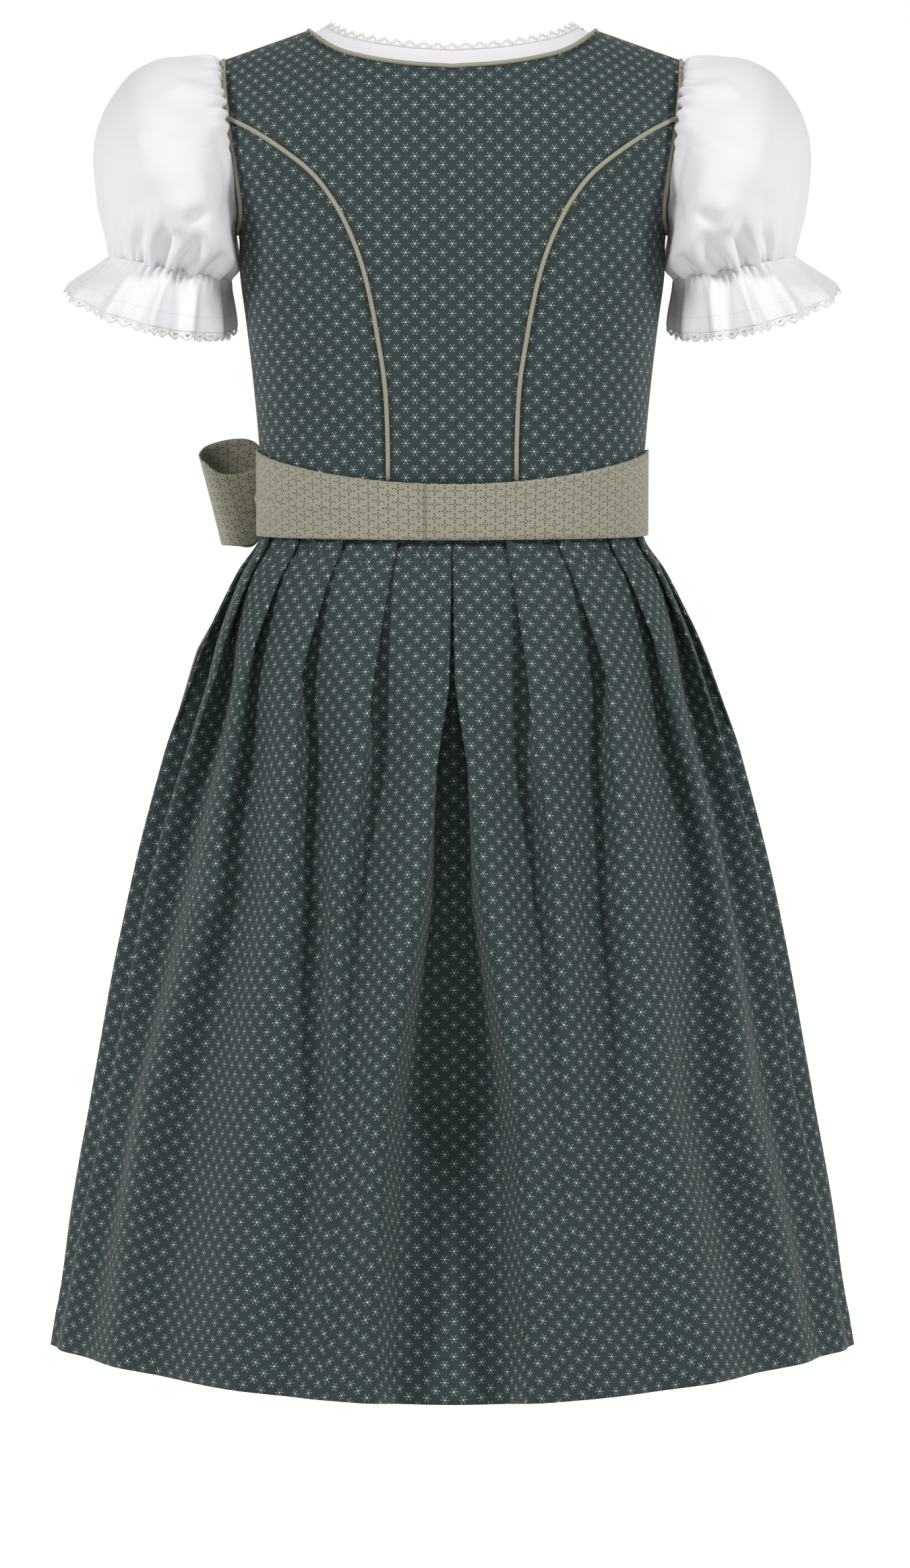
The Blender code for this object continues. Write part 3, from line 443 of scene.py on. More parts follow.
PRINCESS = lengths("height out",
    (-300, 41.5), (-240.2, 41.6), (-209.1, 43.3), (-181.1, 47.6), (-157.4, 51.9), (-130.3, 58.8), (-109.7, 67),
    (-90.4, 77.7), (-73.2, 91.9), (-60.4, 108.3), (-56.2, 114.3), (-47.2, 128.5), (-40.3, 141.8),
)
NECKLINE = lengths("out back front",
    (0, -5.9, -62), (34.5, -3.1, -57), (58, 1.3, -40), (72, 5.6, -21), (83.5, 12.2, 0), (92.5, 19.6, 19.6),
)
NECK_POINT, SHOULDER_TIP = (0.0925, 0.0196), (0.1507, -0.0009)
NECK_RISE, BLOUSE_NECK_RISE, BLOUSE_INSET, BLOUSE_HEM = 0.022, 0.0090, 0.0032, -0.215

form_half_width = table(TORSO, "height", "half_width")
form_depth = {face: table(TORSO, "height", word + "_depth") for word, face in FACES}
armhole_out, princess_out = table(ARMHOLE, "height", "out"), table(PRINCESS, "height", "out")
neck_height = {face: table(NECKLINE, "out", word) for word, face in FACES}

# %% Creases of the bodice
BODY_CREASES = {
    BACK: lengths(CREASE,
        (-136, -150, -78, -128, 5.5, -0.9), (-132, -168, -70, -158, 6, -0.8), (-128, -196, -84, -203, 6, -0.9),
        (-127, -214, -60, -196, 5, 0.6), (-124, -232, -70, -246, 6, -0.8), (-98, -100, -60, -160, 8, -0.7),
        (134, -156, 82, -134, 5.5, -0.9), (131, -176, 72, -170, 6, -0.7), (127, -205, 80, -211, 6.5, -0.9),
        (126, -222, 66, -232, 5, -0.7), (100, -98, 64, -152, 8, -0.7), (-36, -214, 20, -206, 7, -0.6),
        (-30, -236, 38, -244, 6, -0.6), (4, -190, 36, -222, 6.5, 0.5), (-120, -20, -60, -60, 12, 0.8),
        (118, -18, 62, -64, 12, 0.8),
    ),
    FRONT: lengths(CREASE,
        (-132, -150, -80, -136, 6, -0.9), (-128, -188, -76, -196, 6, -0.8), (133, -158, 84, -140, 6, -0.9),
        (128, -200, 78, -206, 6, -0.8), (-120, -232, -62, -240, 6, -0.7), (122, -228, 66, -236, 6, -0.7),
        (-34, -105, -8, -88, 4, -0.5), (36, -146, 8, -166, 4.5, -0.5),
    ),
}


# %% The form's surface
def shoulder_height(x):
    """Height of the line where front and back meet, over the shoulder and across the neck."""
    out = np.abs(x)
    t = (out - NECK_POINT[0]) / (SHOULDER_TIP[0] - NECK_POINT[0])
    dip = NECK_POINT[1] + NECK_RISE * (1 - (out / NECK_POINT[0]) ** 2)
    return np.where(out > NECK_POINT[0], mix(NECK_POINT[1], SHOULDER_TIP[1], t), dip)


def torso_depth(x, z, face, lift):
    ratio = np.minimum(np.abs(x) / (form_half_width(z) + lift), 1.0)
    below = np.clip((shoulder_height(x) + lift - z) / SHOULDER_ROUND, 0.0, 1.0)
    arch = (1 - (1 - below) ** ARCH_POWER) ** (1 / ARCH_SHARPNESS)
    return (form_depth[face](z) + lift) * (1 - ratio**SECTION_POWER) ** (1 / SECTION_POWER) * arch


def torso_points(x, z, face, lift=0.0, worn=1.0):
    """Points of the back or front of the form, with the worn bodice's creases."""
    x, z = np.broadcast_arrays(np.asarray(x, float), np.asarray(z, float))
    depth = torso_depth(x, z, face, lift)
    return np.stack([x, face * (depth + worn * creases(x, z, BODY_CREASES[face])), z], axis=-1)


def outer_x(z, lift=0.0):
    side = form_half_width(z) + lift
    return np.where(z <= UNDERARM, side, np.minimum(armhole_out(z), side))


def panel_x(z, lift=0.0):
    """Half-width of the centre panels: the princess seam, then the armhole's edge above it."""
    return np.where(z <= PRINCESS_TOP, princess_out(z) - SEAM_GAP, armhole_out(z))


def angle_of(x, z, lift=0.0):
    return np.arcsin(np.minimum(np.abs(x) / (form_half_width(z) + lift), 1.0))


def top_height(x, face, rise, lift=0.0):
    shoulder = shoulder_height(x) + lift
    return np.where(np.abs(x) < NECK_POINT[0], np.minimum(neck_height[face](np.abs(x)) + rise, shoulder), shoulder)


def body_flat(x, z, face):
    """Where each point of the form lies on flat cloth: across from the centre line, and down from the waist."""
    turn = np.sign(x) * angle_of(x, z)
    steps = np.linspace(0, 1, 25)[:, None, None]
    across = torso_points(form_half_width(z) * np.sin(turn * steps), z + 0 * steps, face, worn=0)
    heights = WAIST_SEAM + (z - WAIST_SEAM) * steps
    down = torso_points(form_half_width(heights) * np.sin(turn * 0.8), heights, face, worn=0)
    across, down = (np.linalg.norm(np.diff(run, axis=0), axis=-1).sum(axis=0) for run in (across, down))
    return np.stack([np.sign(x) * across, np.sign(z - WAIST_SEAM) * down], axis=-1)


# %% [markdown]
# ## Bodice panels
# The back is one centre panel, cut on the fold, and two side panels that meet it in princess seams; the
# front is the same but opens down the middle. A panel's columns run down from the neck or shoulder and its
# rows share the body's angles, so the neckline, armhole and seams are the grid's own edges.

# %% Rows and columns of a centre panel
COLUMN_TOPS = (0.0, 0.026, 0.050, 0.070, 0.0825, 0.0885, 0.0925, 0.120, 0.1507)
ROW_DEPTHS = (
    0.0, 0.0015, 0.007, 0.018, 0.0394, 0.0426, 0.0500, 0.0590, 0.0710, 0.0955, 0.1101, 0.150, 0.205, 0.2966,
)


def clear_of_seam(points, face):
    """The same points, kept half a seam's gap from the other face's panels."""
    points[..., 1] = face * np.maximum(face * points[..., 1], HALF_SEAM)
    return points


EASE_REACH, EASE_END, EASE_FADE = 0.014, 0.008, 0.012


def half_panel(face, side, bottom, tops, depths, width_at, rise, lift, worn=1.0):
    """One half of a centre panel: rows down, columns out from the middle."""
    tops, depths = np.array(tops, float)[None, :], np.array(depths, float)[:, None]
    top_z = top_height(tops, face, rise, lift)
    share = angle_of(tops, top_z, lift) / angle_of(width_at(top_z, lift), top_z, lift)
    share = np.where(tops >= SHOULDER_TIP[0], 1.0, share)
    z = top_z - depths / depths[-1] * (top_z - bottom)
    eased = np.mean([width_at(z + step, lift) for step in np.linspace(-EASE_REACH, EASE_REACH, 15)], axis=0)
    inner = (1 - share**8) * smooth_step((SHOULDER_TIP[1] - EASE_END - z) / EASE_FADE)
    x = (form_half_width(z) + lift) * np.sin(share * angle_of(mix(width_at(z, lift), eased, inner), z, lift))
    return clear_of_seam(torso_points(side * x, z, face, lift, worn), face)


def whole_panel(face, *sizes, **more):
    left, right = (half_panel(face, side, *sizes, **more) for side in (LEFT, RIGHT))
    return np.concatenate([left[:, :0:-1], right], axis=1)


def side_panel(face, side):
    """The panel between the princess seam and the side seam or armhole."""
    z = SHOULDER_TIP[1] - spread(ROW_DEPTHS[5:], 8)[:, None]
    share = np.linspace(0, 1, 33)[None, :]
    turn = mix(angle_of(princess_out(z) + SEAM_GAP, z), angle_of(outer_x(z), z), share)
    return clear_of_seam(torso_points(side * form_half_width(z) * np.sin(turn), z, face), face)


# %% Make the bodice
SIDE_TURN, SIDE_SHIFT = 3.0, (0.0031, 0.0027)


def panel_flat(grid, face, turn=0.0, shift=(0.0, 0.0)):
    """A panel's place on flat cloth. A turn and a shift cut the print at a seam."""
    x, y = np.moveaxis(body_flat(grid[..., 0], grid[..., 2], face), -1, 0)
    c, s = math.cos(math.radians(turn)), math.sin(math.radians(turn))
    return np.stack([x * c - y * s, x * s + y * c], axis=-1) + shift


sizes = (WAIST_SEAM, spread(COLUMN_TOPS, 6), spread(ROW_DEPTHS, 7), panel_x, 0.0, 0.0)
grid = whole_panel(BACK, *sizes)
cloth("dress_back_centre", grid, DRESS, "bodice_back_centre", flat=panel_flat(grid, BACK))
for label, side in SIDES:
    grid = half_panel(FRONT, side, *sizes)
    grid[:, 0, 0] = side * HALF_SEAM
    cloth("dress_front_" + label, grid, DRESS, "bodice_front_" + label, flat=panel_flat(grid, FRONT))
    for word, face in FACES:
        grid = side_panel(face, side)
        flat = panel_flat(grid, face, side * SIDE_TURN, (side * SIDE_SHIFT[0], SIDE_SHIFT[1]))
        cloth(f"dress_side_{word}_{label}", grid, DRESS, f"bodice_side_{word}_{label}", flat=flat)

# %% [markdown]
# ## Blouse body
# The blouse ends just below the bust and shows only as a strip round the neck. It is plain white batiste.

# %% Make the blouse body
BLOUSE_TOPS = (0.0, 0.026, 0.049, 0.067, 0.0780, 0.0835, 0.0868, 0.118, 0.1507)
BLOUSE_DEPTHS = (0.0, 0.0015, 0.006, 0.015, 0.032, 0.056, 0.084, 0.0985, 0.2117)
BLOUSE_COLUMN_STEPS, BLOUSE_ROW_STEPS = 6, 5
tops, depths = spread(BLOUSE_TOPS, BLOUSE_COLUMN_STEPS), spread(BLOUSE_DEPTHS, BLOUSE_ROW_STEPS)
sizes = (BLOUSE_HEM, tops, depths, outer_x, BLOUSE_NECK_RISE, -BLOUSE_INSET)
blouse_grids = {face: whole_panel(face, *sizes, worn=0.0) for word, face in FACES}
for word, face in FACES:
    cloth("blouse_body_" + word, blouse_grids[face], BLOUSE, "blouse_" + word)

# %% [markdown]
# ## Skirt
# The skirt is a straight length of cloth folded into pleats under the band. A centre-back pair of folds
# opens towards the hem, and on both sides knife pleats with their folded edges towards the centre open into
# uneven waves. Each height gets its own section: distance round the body against distance outwards, through
# the valley and ridge of each fold. Smooth curves through those points keep the folded layers apart.

# %% Skirt tables
SKIRT_TOP, SKIRT_HEM, LAYER_STEP = -0.2983, -0.8485, 0.0016
SKIRT = rows("height half_width back front squareness ridge opening wave",
    (SKIRT_TOP, 0.1215, 0.0818, 0.0812, 0.87, 0.0032, -0.025, 0.0),
    (-0.3128, 0.123, 0.0824, 0.0818, 0.87, 0.0032, -0.025, 0.0),
    (-0.332, 0.135, 0.095, 0.094, 0.92, 0.006, -0.021, 0.2), (-0.365, 0.147, 0.108, 0.105, 0.99, 0.0125, -0.014, 0.6),
    (-0.42, 0.1605, 0.125, 0.121, 1.09, 0.0185, -0.004, 0.95),
    (-0.495, 0.1815, 0.143, 0.139, 1.21, 0.0212, 0.007, 1.0), (-0.58, 0.2015, 0.16, 0.156, 1.35, 0.0222, 0.016, 1.0),
    (-0.675, 0.222, 0.1755, 0.1715, 1.48, 0.021, 0.024, 1.0),
    (-0.765, 0.2445, 0.1885, 0.1845, 1.64, 0.018, 0.03, 1.0),
    (SKIRT_HEM, 0.2645, 0.198, 0.1945, 1.84, 0.0105, 0.034, 1.0),
)
FOLD_HEIGHTS = (SKIRT_TOP, -0.40, -0.536, -0.67, SKIRT_HEM)
FOLDS = rows("left right strength",
    ((16.4, 17.6, 17.2, 16.5, 17.0), (16.2, 16.9, 15.8, 16.8, 18.0), (1, 1.0, 0.7, 0.0, 0.0)),
    ((34.2, 35.5, 26.3, 22.6, 23.2), (33.0, 36.6, 28.0, 26.8, 30.4), (1, 1.0, 1.0, 1.0, 1.0)),
    ((53.2, 52.5, 44.0, 48.0, 45.4), (54.9, 55.0, 52.0, 45.0, 49.0), (1, 1.0, 0.9, 1.0, 1.0)),
    ((73.7, 64.7, 65.8, 66.0, 65.0), (76.6, 72.0, 68.5, 65.5, 65.5), (1, 1.0, 0.8, 0.5, 0.5)),
    ((94.0, 84.0, 81.0, 80.0, 82.0), (96.0, 87.0, 83.0, 80.5, 82.0), (1, 1.0, 0.8, 0.6, 0.6)),
    ((114.0, 108.0, 105.0, 105.0, 105.0), (115.0, 108.0, 105.0, 105.0, 105.0), (1, 1, 0.8, 0.7, 0.7)),
    ((134.0, 130.0, 128.0, 128.0, 128.0), (134.0, 130.0, 128.0, 128.0, 128.0), (1, 1, 0.7, 0.6, 0.6)),
    ((155.0, 153.0, 152.0, 152.0, 152.0), (155.0, 153.0, 152.0, 152.0, 152.0), (1, 1, 0.7, 0.6, 0.6)),
)
CENTRE_FOLD = rows("valley ridge strength middle depth",
    (0.025, 0.0004, 1.0, 0.0, 0.0), (0.012, 0.002, 1.1, 0.0, 0.0), (0.008, 0.021, 1.3, 0.0, 0.012),
    (0.03, 0.044, 1.2, 0.0, 0.03), (0.036, 0.052, 1.1, 0.005, 0.021),
)
FALL_STEPS, RISE_STEPS, WEAK_LEVEL, WEAK_OPENING = (0.0, 0.2, 0.42, 0.68, 0.96), (0.07, 0.5, 0.95), 0.55, 0.2


# %% One height of the skirt
def oval(half_width, back, front, squareness, samples=720):
    """The body's outline at one height, with its length from the centre back."""
    turns = np.linspace(0, math.tau, samples + 1)
    x, cosine = half_width * np.sin(turns), np.cos(turns)
    y = -np.where(cosine > 0, back, front) * np.sign(cosine) * np.abs(cosine) ** squareness
    return turns, x, y, np.insert(np.cumsum(np.hypot(np.diff(x), np.diff(y))), 0, 0)


class Ring:
    """One height of the skirt: finds points from their distance round and their offset outwards."""

    def __init__(self, z):
        heights = [level.height for level in SKIRT]
        self.z, self.level = z, row_at(SKIRT, lambda column: float(smooth_curve(heights, column)(z)))
        self.turns, self.x, self.y, self.arc = oval(*self.level[1:5])
        self.length = self.arc[-1]

    def arc_at(self, degrees):
        return np.interp(np.radians(degrees), self.turns, self.arc)

    def at(self, distance):
        s = np.asarray(distance) % self.length
        return np.stack([np.interp(s, self.arc, self.x), np.interp(s, self.arc, self.y)], axis=-1)

    def points(self, distance, out):
        distance, out = np.broadcast_arrays(np.asarray(distance, float), np.asarray(out, float))
        tangent = unit(self.at(distance + 0.004) - self.at(distance - 0.004))
        away = np.stack([tangent[..., 1], -tangent[..., 0]], axis=-1)
        flat = self.at(distance) + away * out[..., None]
        return np.concatenate([flat, np.full(flat.shape[:-1] + (1,), self.z)], axis=-1)


def at_heights(values, z):
    return float(np.interp(-z, [-h for h in FOLD_HEIGHTS], values))


def levels_of(strength, ridge):
    """Heights of a fold's valley and ridge. A weak fold has both near the middle."""
    return ridge * WEAK_LEVEL * (1 - strength), ridge * mix(WEAK_LEVEL, 1.0, strength)


def half_section(ring, side):
    """(distance from the centre back, offset outwards) along one half of a section."""
    level, wave, half = ring.level, ring.level.wave, ring.length / 2
    centre = row_at(CENTRE_FOLD, lambda column: at_heights(column, ring.z))
    folds = [(0.0, centre.valley, centre.ridge, centre.strength)]
    for fold in FOLDS:
        line = float(ring.arc_at(at_heights(fold.left if side == LEFT else fold.right, ring.z)))
        strength = at_heights(fold.strength, ring.z)
        opening = level.opening * (mix(WEAK_OPENING, 1.0, strength) if level.opening > 0 else 1.0)
        folds.append((line, line - min(opening, 0.0), line + max(opening, 0.0), strength))
    points = []

    def lay(start, end, steps, low, high, folded_at):
        """Points from start to end: a flat fold under the band turns into a wave below it."""
        for t in steps:
            waved = mix(low, high, (1 - math.cos(math.pi * t)) / 2)
            points.append((mix(start, end, t), mix(folded_at(t), waved, wave)))

    low = levels_of(centre.strength, level.ridge)[0] - centre.depth
    lay(0.0, centre.valley, (0.0, 1.0), low + centre.middle, low, lambda t: 0.0)
    for k, (line, valley, ridge, strength) in enumerate(folds, 1):
        low, high = levels_of(strength, level.ridge)
        lay(valley, ridge, RISE_STEPS, low - centre.depth * (k == 1), high, lambda t: LAYER_STEP)
        next_line, end, next_low, fall = half, half, mix(low, high, 0.4), 0.5
        if k < len(folds):
            next_line, end, fall = *folds[k][:2], 1.0
            next_low = levels_of(folds[k][3], level.ridge)[0]
        seen = (next_line - ridge) / (end - ridge)
        lay(ridge, end, FALL_STEPS, high, next_low, lambda t: 2 * LAYER_STEP * (1 - min(t / seen, 1.0) * fall))
    return points


# %% Make the skirt
SKIRT_CREASES = lengths(CREASE,
    (-60, -400, -75, -520, 8, -1.6), (-105, -370, -120, -450, 7, 1.4), (55, -420, 66, -530, 8, -1.4),
    (112, -380, 126, -470, 7, 1.4), (-190, -620, -205, -740, 12, 2), (180, -600, 196, -720, 12, -1.8),
    (-20, -500, -30, -620, 9, 1.2), (90, -660, 80, -780, 10, 1.4),
)
HEM_DEPTH, HEM_PROUD, HEM_GROOVE, HEM_SAG, SAG_FROM = 0.0295, 0.0004, 0.0005, 0.19, -0.72


def skirt_ring(z):
    """One row of the skirt. Near the hem its valleys sag, so that the hem's edge looks level."""
    ring = Ring(z)
    right, left = (np.array(half_section(ring, side)) for side in (RIGHT, LEFT))
    left[:, 0] = ring.length - left[:, 0]
    line = rounded(np.concatenate([right, left[::-1]]), 3)[:-1]
    points = ring.points(line[:, 0], line[:, 1])
    share = smooth_step((SAG_FROM - z) / (SAG_FROM - SKIRT_HEM))
    points[:, 2] -= HEM_SAG * share * (ring.level.ridge - line[:, 1])
    return points


skirt_heights = np.concatenate([np.linspace(SKIRT_TOP, -0.37, 22)[:-1], np.linspace(-0.37, SKIRT_HEM, 68)])
grid = np.array([skirt_ring(z) for z in skirt_heights])
skirt_away = away_from(grid, np.array((0.0, 0.0, -0.6)), closed=True)
spots = creases(grid[..., 0], grid[..., 2], SKIRT_CREASES)
above_fold = skirt_heights[:, None] - SKIRT_HEM - HEM_DEPTH
hem = HEM_PROUD * (1 - smooth_step(above_fold / 0.003)) - HEM_GROOVE * bell(above_fold, 0, 0.002)
skirt_grid = grid + skirt_away * (spots + hem)[..., None]
cloth("dress_skirt", skirt_grid, SKIRT_COTTON, "skirt", closed=True, repeat=STAR_ACROSS)

# %% [markdown]
# ## Apron, band and ties
# The apron hangs over the front of the skirt from a band. The band goes on as two ties round the back, where
# one laps over the other, and both end in the bow. All are the same cotton, cut on the straight grain.

# %% Make the apron
APRON_TOP, APRON_HEM = -0.3105, -0.800
APRON_ANGLES, APRON_WAVES, APRON_GATHERS, APRON_CLEAR = (60.0, 64.0), 7, 46, 0.0018
APRON_WAVE_HIGH, APRON_GATHER_HIGH, GATHER_FADE = (0.0007, 0.0050), 0.0005, 0.05


def front_lift(ring):
    """How far the skirt's front folds stand out, without the cloth that lies on them."""
    strength = max(at_heights(fold.strength, ring.z) for fold in (FOLDS[-1], FOLDS[5]))
    return mix(2 * LAYER_STEP, levels_of(strength, ring.level.ridge)[1], ring.level.wave)


def apron_row(z, share):
    """One row of the apron: slow waves that grow downwards, and small gathers just under the band."""
    ring, t = Ring(z), (APRON_TOP - z) / (APRON_TOP - APRON_HEM)
    wave = mix(*APRON_WAVE_HIGH, t) * (1 - np.cos(math.tau * APRON_WAVES * share))
    gather = APRON_GATHER_HIGH * math.exp(-t / GATHER_FADE) * np.cos(math.tau * APRON_GATHERS * share)
    along = ring.arc_at(180 + mix(*APRON_ANGLES, t) * (2 * share - 1))
    return ring.points(along, front_lift(ring) + APRON_CLEAR + wave + gather)


share = np.linspace(0, 1, 301)
apron_grid = np.array([apron_row(z, share) for z in np.linspace(APRON_TOP, APRON_HEM, 90)])
cloth("apron_panel", apron_grid, APRON, "apron")

# %% Make the band and ties
BAND_HALF_WIDTH, BAND_BACK, BAND_FRONT, BAND_SQUARENESS = 0.1285, 0.0876, 0.0880, 0.87
BAND_TOP_SIDE, BAND_TOP_MIDDLE, BAND_TOP_POWER, BAND_BOTTOM, BAND_FLARE = -0.2538, -0.2737, 1.55, -0.3097, 0.0005
LAP_LIFT, LAP_FROM, LAP_EASE, TIE_END = 0.0017, 3.0, 14.0, -7.3
TIE_CREASE, TIE_CREASE_WIDE, TIE_CREASE_DOWN, TIE_CREASE_FALL = 0.0013, 0.034, 0.595, 0.0017
TIE_CREASE_MIDDLE, TIE_CREASE_END, TIE_CREASE_FADE = -93, -6, 55


def band_top(degrees):
    return mix(BAND_TOP_SIDE, BAND_TOP_MIDDLE, np.abs(np.cos(np.radians(degrees))) ** BAND_TOP_POWER)


def tie_crease(degrees, down):
    """One long crease where the tie is pulled round to the bow, dying out towards the middle."""
    sway = 0.012 * np.sin(degrees * 0.09)
    line = TIE_CREASE_DOWN - TIE_CREASE_FALL * (degrees - TIE_CREASE_MIDDLE) + sway
    fade = np.clip((TIE_CREASE_END - degrees) / TIE_CREASE_FADE, 0, 1)
    return TIE_CREASE * bell(down, line, TIE_CREASE_WIDE) * fade


def band_grid(start, end, count, lap=0.0, crease=0.0, lines=17):
    """A length of the band from one angle to another, in lines from its top edge to its bottom edge."""
    turns, xs, ys = oval(BAND_HALF_WIDTH, BAND_BACK, BAND_FRONT, BAND_SQUARENESS)[:3]
    degrees, down = np.linspace(start, end, count)[None, :], np.linspace(0, 1, lines)[:, None]
    turn = np.radians(degrees % 360)
    x, y = np.interp(turn, turns, xs), np.interp(turn, turns, ys)
    away = unit(np.stack([x / BAND_HALF_WIDTH**2, y / BAND_BACK**2], axis=-1))
    lift = lap * (1 - smooth_step((degrees - LAP_FROM) / LAP_EASE)) + crease * tie_crease(degrees, down)
    lift = lift + BAND_FLARE * np.abs(np.sin(2 * turn)) * np.clip(1 - 2 * down, 0, 1)
    z = mix(band_top(degrees), BAND_BOTTOM, down)
    return np.stack([x + away[..., 0] * lift, y + away[..., 1] * lift, z], axis=-1)


band_grids = {
    "tie_back_right": band_grid(TIE_END, 93.0, 150, lap=LAP_LIFT),
    "tie_back_left": band_grid(-122.0, 1.0, 160, crease=1.0, lines=41),
    "waistband": band_grid(93.4, 237.6, 200),
}
for name, grid in band_grids.items():
    cloth("apron_" + name, grid, TIE, name)

# %% [markdown]
# ## Bow
# Each loop is the tie's full width, pinched at the knot and rounded at its far end. The knot is a short
# piece of the tie pulled round the loops' roots, and the two ends hang down over the apron.

# %% Bow sizes
LOOP = lengths("along away top bottom",
    (6, 10, -271, -296.5), (20, 19, -249.5, -302), (40, 24, -249, -314), (55, 22, -253.5, -317),
    (62, 14, -259, -318), (61, 6, -263.8, -318), (52, 2, -270, -318.5), (36, 1, -270, -319), (20, 2, -265, -307.5),
    (6, 5, -273, -296),
)
LOOPS = rows("side degrees nearer", ("l", -152.0, 0.0), ("r", 36.0, 0.0007))
LOOP_ROOT_ALONG, LOOP_ROOT_AWAY, LOOP_LEAN, LOOP_PINCH = 0.0055, 0.0075, 4.4, 0.0011
KNOT_DEPTH, KNOT_WIDTH, KNOT_TOP, KNOT_BOTTOM, KNOT_ANGLE = 0.0062, 0.0085, -0.270, -0.302, -127.0
KNOT_CLEAR = 0.0012 + SEAM_GAP
TAILS = rows("side degrees length shift lift",
    ("l", -121.0, 0.215, 0.0055, 0.0), ("r", -134.0, 0.19, -0.0055, 0.0045),
)
TAIL_ROOT_HALF, TAIL_HALF, TAIL_ROOT_LIFT, TAIL_LIFT = 0.0045, 0.023, 0.0131, 0.0150
TAIL_PLEAT, TAIL_FOLD, TAIL_WAVE = 0.0009, 0.003, 0.0016

turn = math.radians(KNOT_ANGLE)
knot_base = np.array((BAND_HALF_WIDTH * math.sin(turn), BAND_FRONT * abs(math.cos(turn)) ** BAND_SQUARENESS))
knot_out = unit(knot_base)
knot_across = np.array((-knot_out[1], knot_out[0]))
knot_centre = knot_base + knot_out * (KNOT_DEPTH + KNOT_CLEAR)
print("knot at", knot_centre.round(4))

# %% Make the bow
LOOP_CREASES = lengths(CREASE,
    (0, -288, 45, -296, 3.5, -1.6), (0, -282, 40, -276, 3, 1.2),
)


def loop_grid(loop):
    """A loop: out from its root at the knot, and back."""
    heading = math.radians(loop.degrees)
    along = np.array((math.cos(heading), math.sin(heading)))
    away = np.array((-along[1], along[0]))
    away *= math.copysign(1.0, away @ knot_out)
    root = knot_centre + knot_across * math.copysign(KNOT_WIDTH + KNOT_CLEAR - loop.nearer, knot_across @ along)
    out, deep, top, bottom = rounded(np.array(LOOP, float), 9).T
    share = np.linspace(0, 1, 23)[:, None]
    reach, z = out * (1 - LOOP_LEAN * out * share) - LOOP_ROOT_ALONG, mix(top, bottom, share)
    pinch = LOOP_PINCH * bell(out, LOOP[0].along, 0.018) * np.cos(math.tau * 2.5 * share + 0.6)
    fold = pinch + creases(out + 0 * share, z, LOOP_CREASES) * np.sign(deep - 0.008)
    place = root + reach[..., None] * along + (deep - LOOP_ROOT_AWAY + fold)[..., None] * away
    return np.concatenate([place, z[..., None]], axis=2)


def knot_grid():
    """The knot: an upright pad, narrower at its ends, with folds that turn a little on the way down."""
    z, turn = np.linspace(KNOT_TOP, KNOT_BOTTOM, 22)[:, None], np.linspace(0, math.tau, 73)[None, :-1]
    pinch = smooth_curve((KNOT_TOP, -0.279, -0.292, KNOT_BOTTOM), (0.80, 1.0, 1.0, 0.80))(z)
    size = (pinch * (1 + 0.045 * np.cos(7 * turn + 40 * (z - KNOT_TOP))))[..., None]
    flat = KNOT_DEPTH * np.cos(turn)[..., None] * knot_out + KNOT_WIDTH * np.sin(turn)[..., None] * knot_across
    return np.concatenate([knot_centre + size * flat, (z + 0 * turn)[..., None]], axis=2)


def tail_row(tail, t):
    """One row of a tail: narrow and pleated at the knot, then spread over the apron."""
    ring = Ring(KNOT_BOTTOM - 0.001 - tail.length * t)
    open_share, share = min(2.5 * t, 1.0), np.linspace(-1, 1, 41)
    middle = ring.arc_at(mix(KNOT_ANGLE, tail.degrees, open_share) % 360) + tail.shift * (1 - open_share)
    pleat = TAIL_PLEAT * (1 - open_share) * np.cos(math.tau * 2 * share)
    fold = open_share * (TAIL_FOLD * (1 - np.abs(share)) + TAIL_WAVE * np.cos(4.2 * share + 5 * t))
    hang = front_lift(ring) + TAIL_LIFT + tail.lift * min(t / 0.04, 1.0)
    out = mix(TAIL_ROOT_LIFT, hang, min(t / 0.12, 1.0)) + fold + pleat
    return ring.points(middle + share * mix(TAIL_ROOT_HALF, TAIL_HALF, open_share), out)


for loop in LOOPS:
    cloth("bow_loop_cloth_" + loop.side, loop_grid(loop), TIE, "bow_loop_" + loop.side)
cloth("bow_knot_cloth", knot_grid(), TIE, "bow_knot", closed=True)
for tail in TAILS:
    grid = np.array([tail_row(tail, t) for t in np.linspace(0, 1, 90)])
    cloth("bow_tail_cloth_" + tail.side, grid, TIE, "bow_tail_" + tail.side)

# %% [markdown]
# ## Puff sleeves
# A sleeve is one piece, gathered into the armhole at its head and into an elastic cuff below, with air
# between. The head's gathers are short and fan out; the cuff's are finer and run into the ruffle.

# %% Sleeve sizes
SLEEVE = rows("top_x top_z under_x under_z half_depth pull flat",
    (0.1535, -0.001, 0.1416, -0.11, 0.046, 0.0, 1.0), (0.161, 0.0015, 0.1455, -0.108, 0.056, 0.0066, 0.85),
    (0.176, 0.0019, 0.1446, -0.118, 0.066, 0.0055, 0.75), (0.196, -0.001, 0.1434, -0.123, 0.074, 0.005, 0.68),
    (0.217, -0.0155, 0.1426, -0.127, 0.08, 0.006, 0.62), (0.2335, -0.05, 0.1424, -0.131, 0.081, 0.008, 0.6),
    (0.2325, -0.093, 0.1426, -0.1355, 0.074, 0.0085, 0.65), (0.2236, -0.1268, 0.1458, -0.1417, 0.047, 0.0, 1.0),
)
SEAM_BOTTOM, SEAM_ROUND, SLEEVE_SEAT = -0.1058, -0.098, 0.0010
CUFF_GATHERS, ROUND_STEPS, HEAD_HOLLOW, CUFF_TUCK = 52, 312, 0.0025, 0.0028
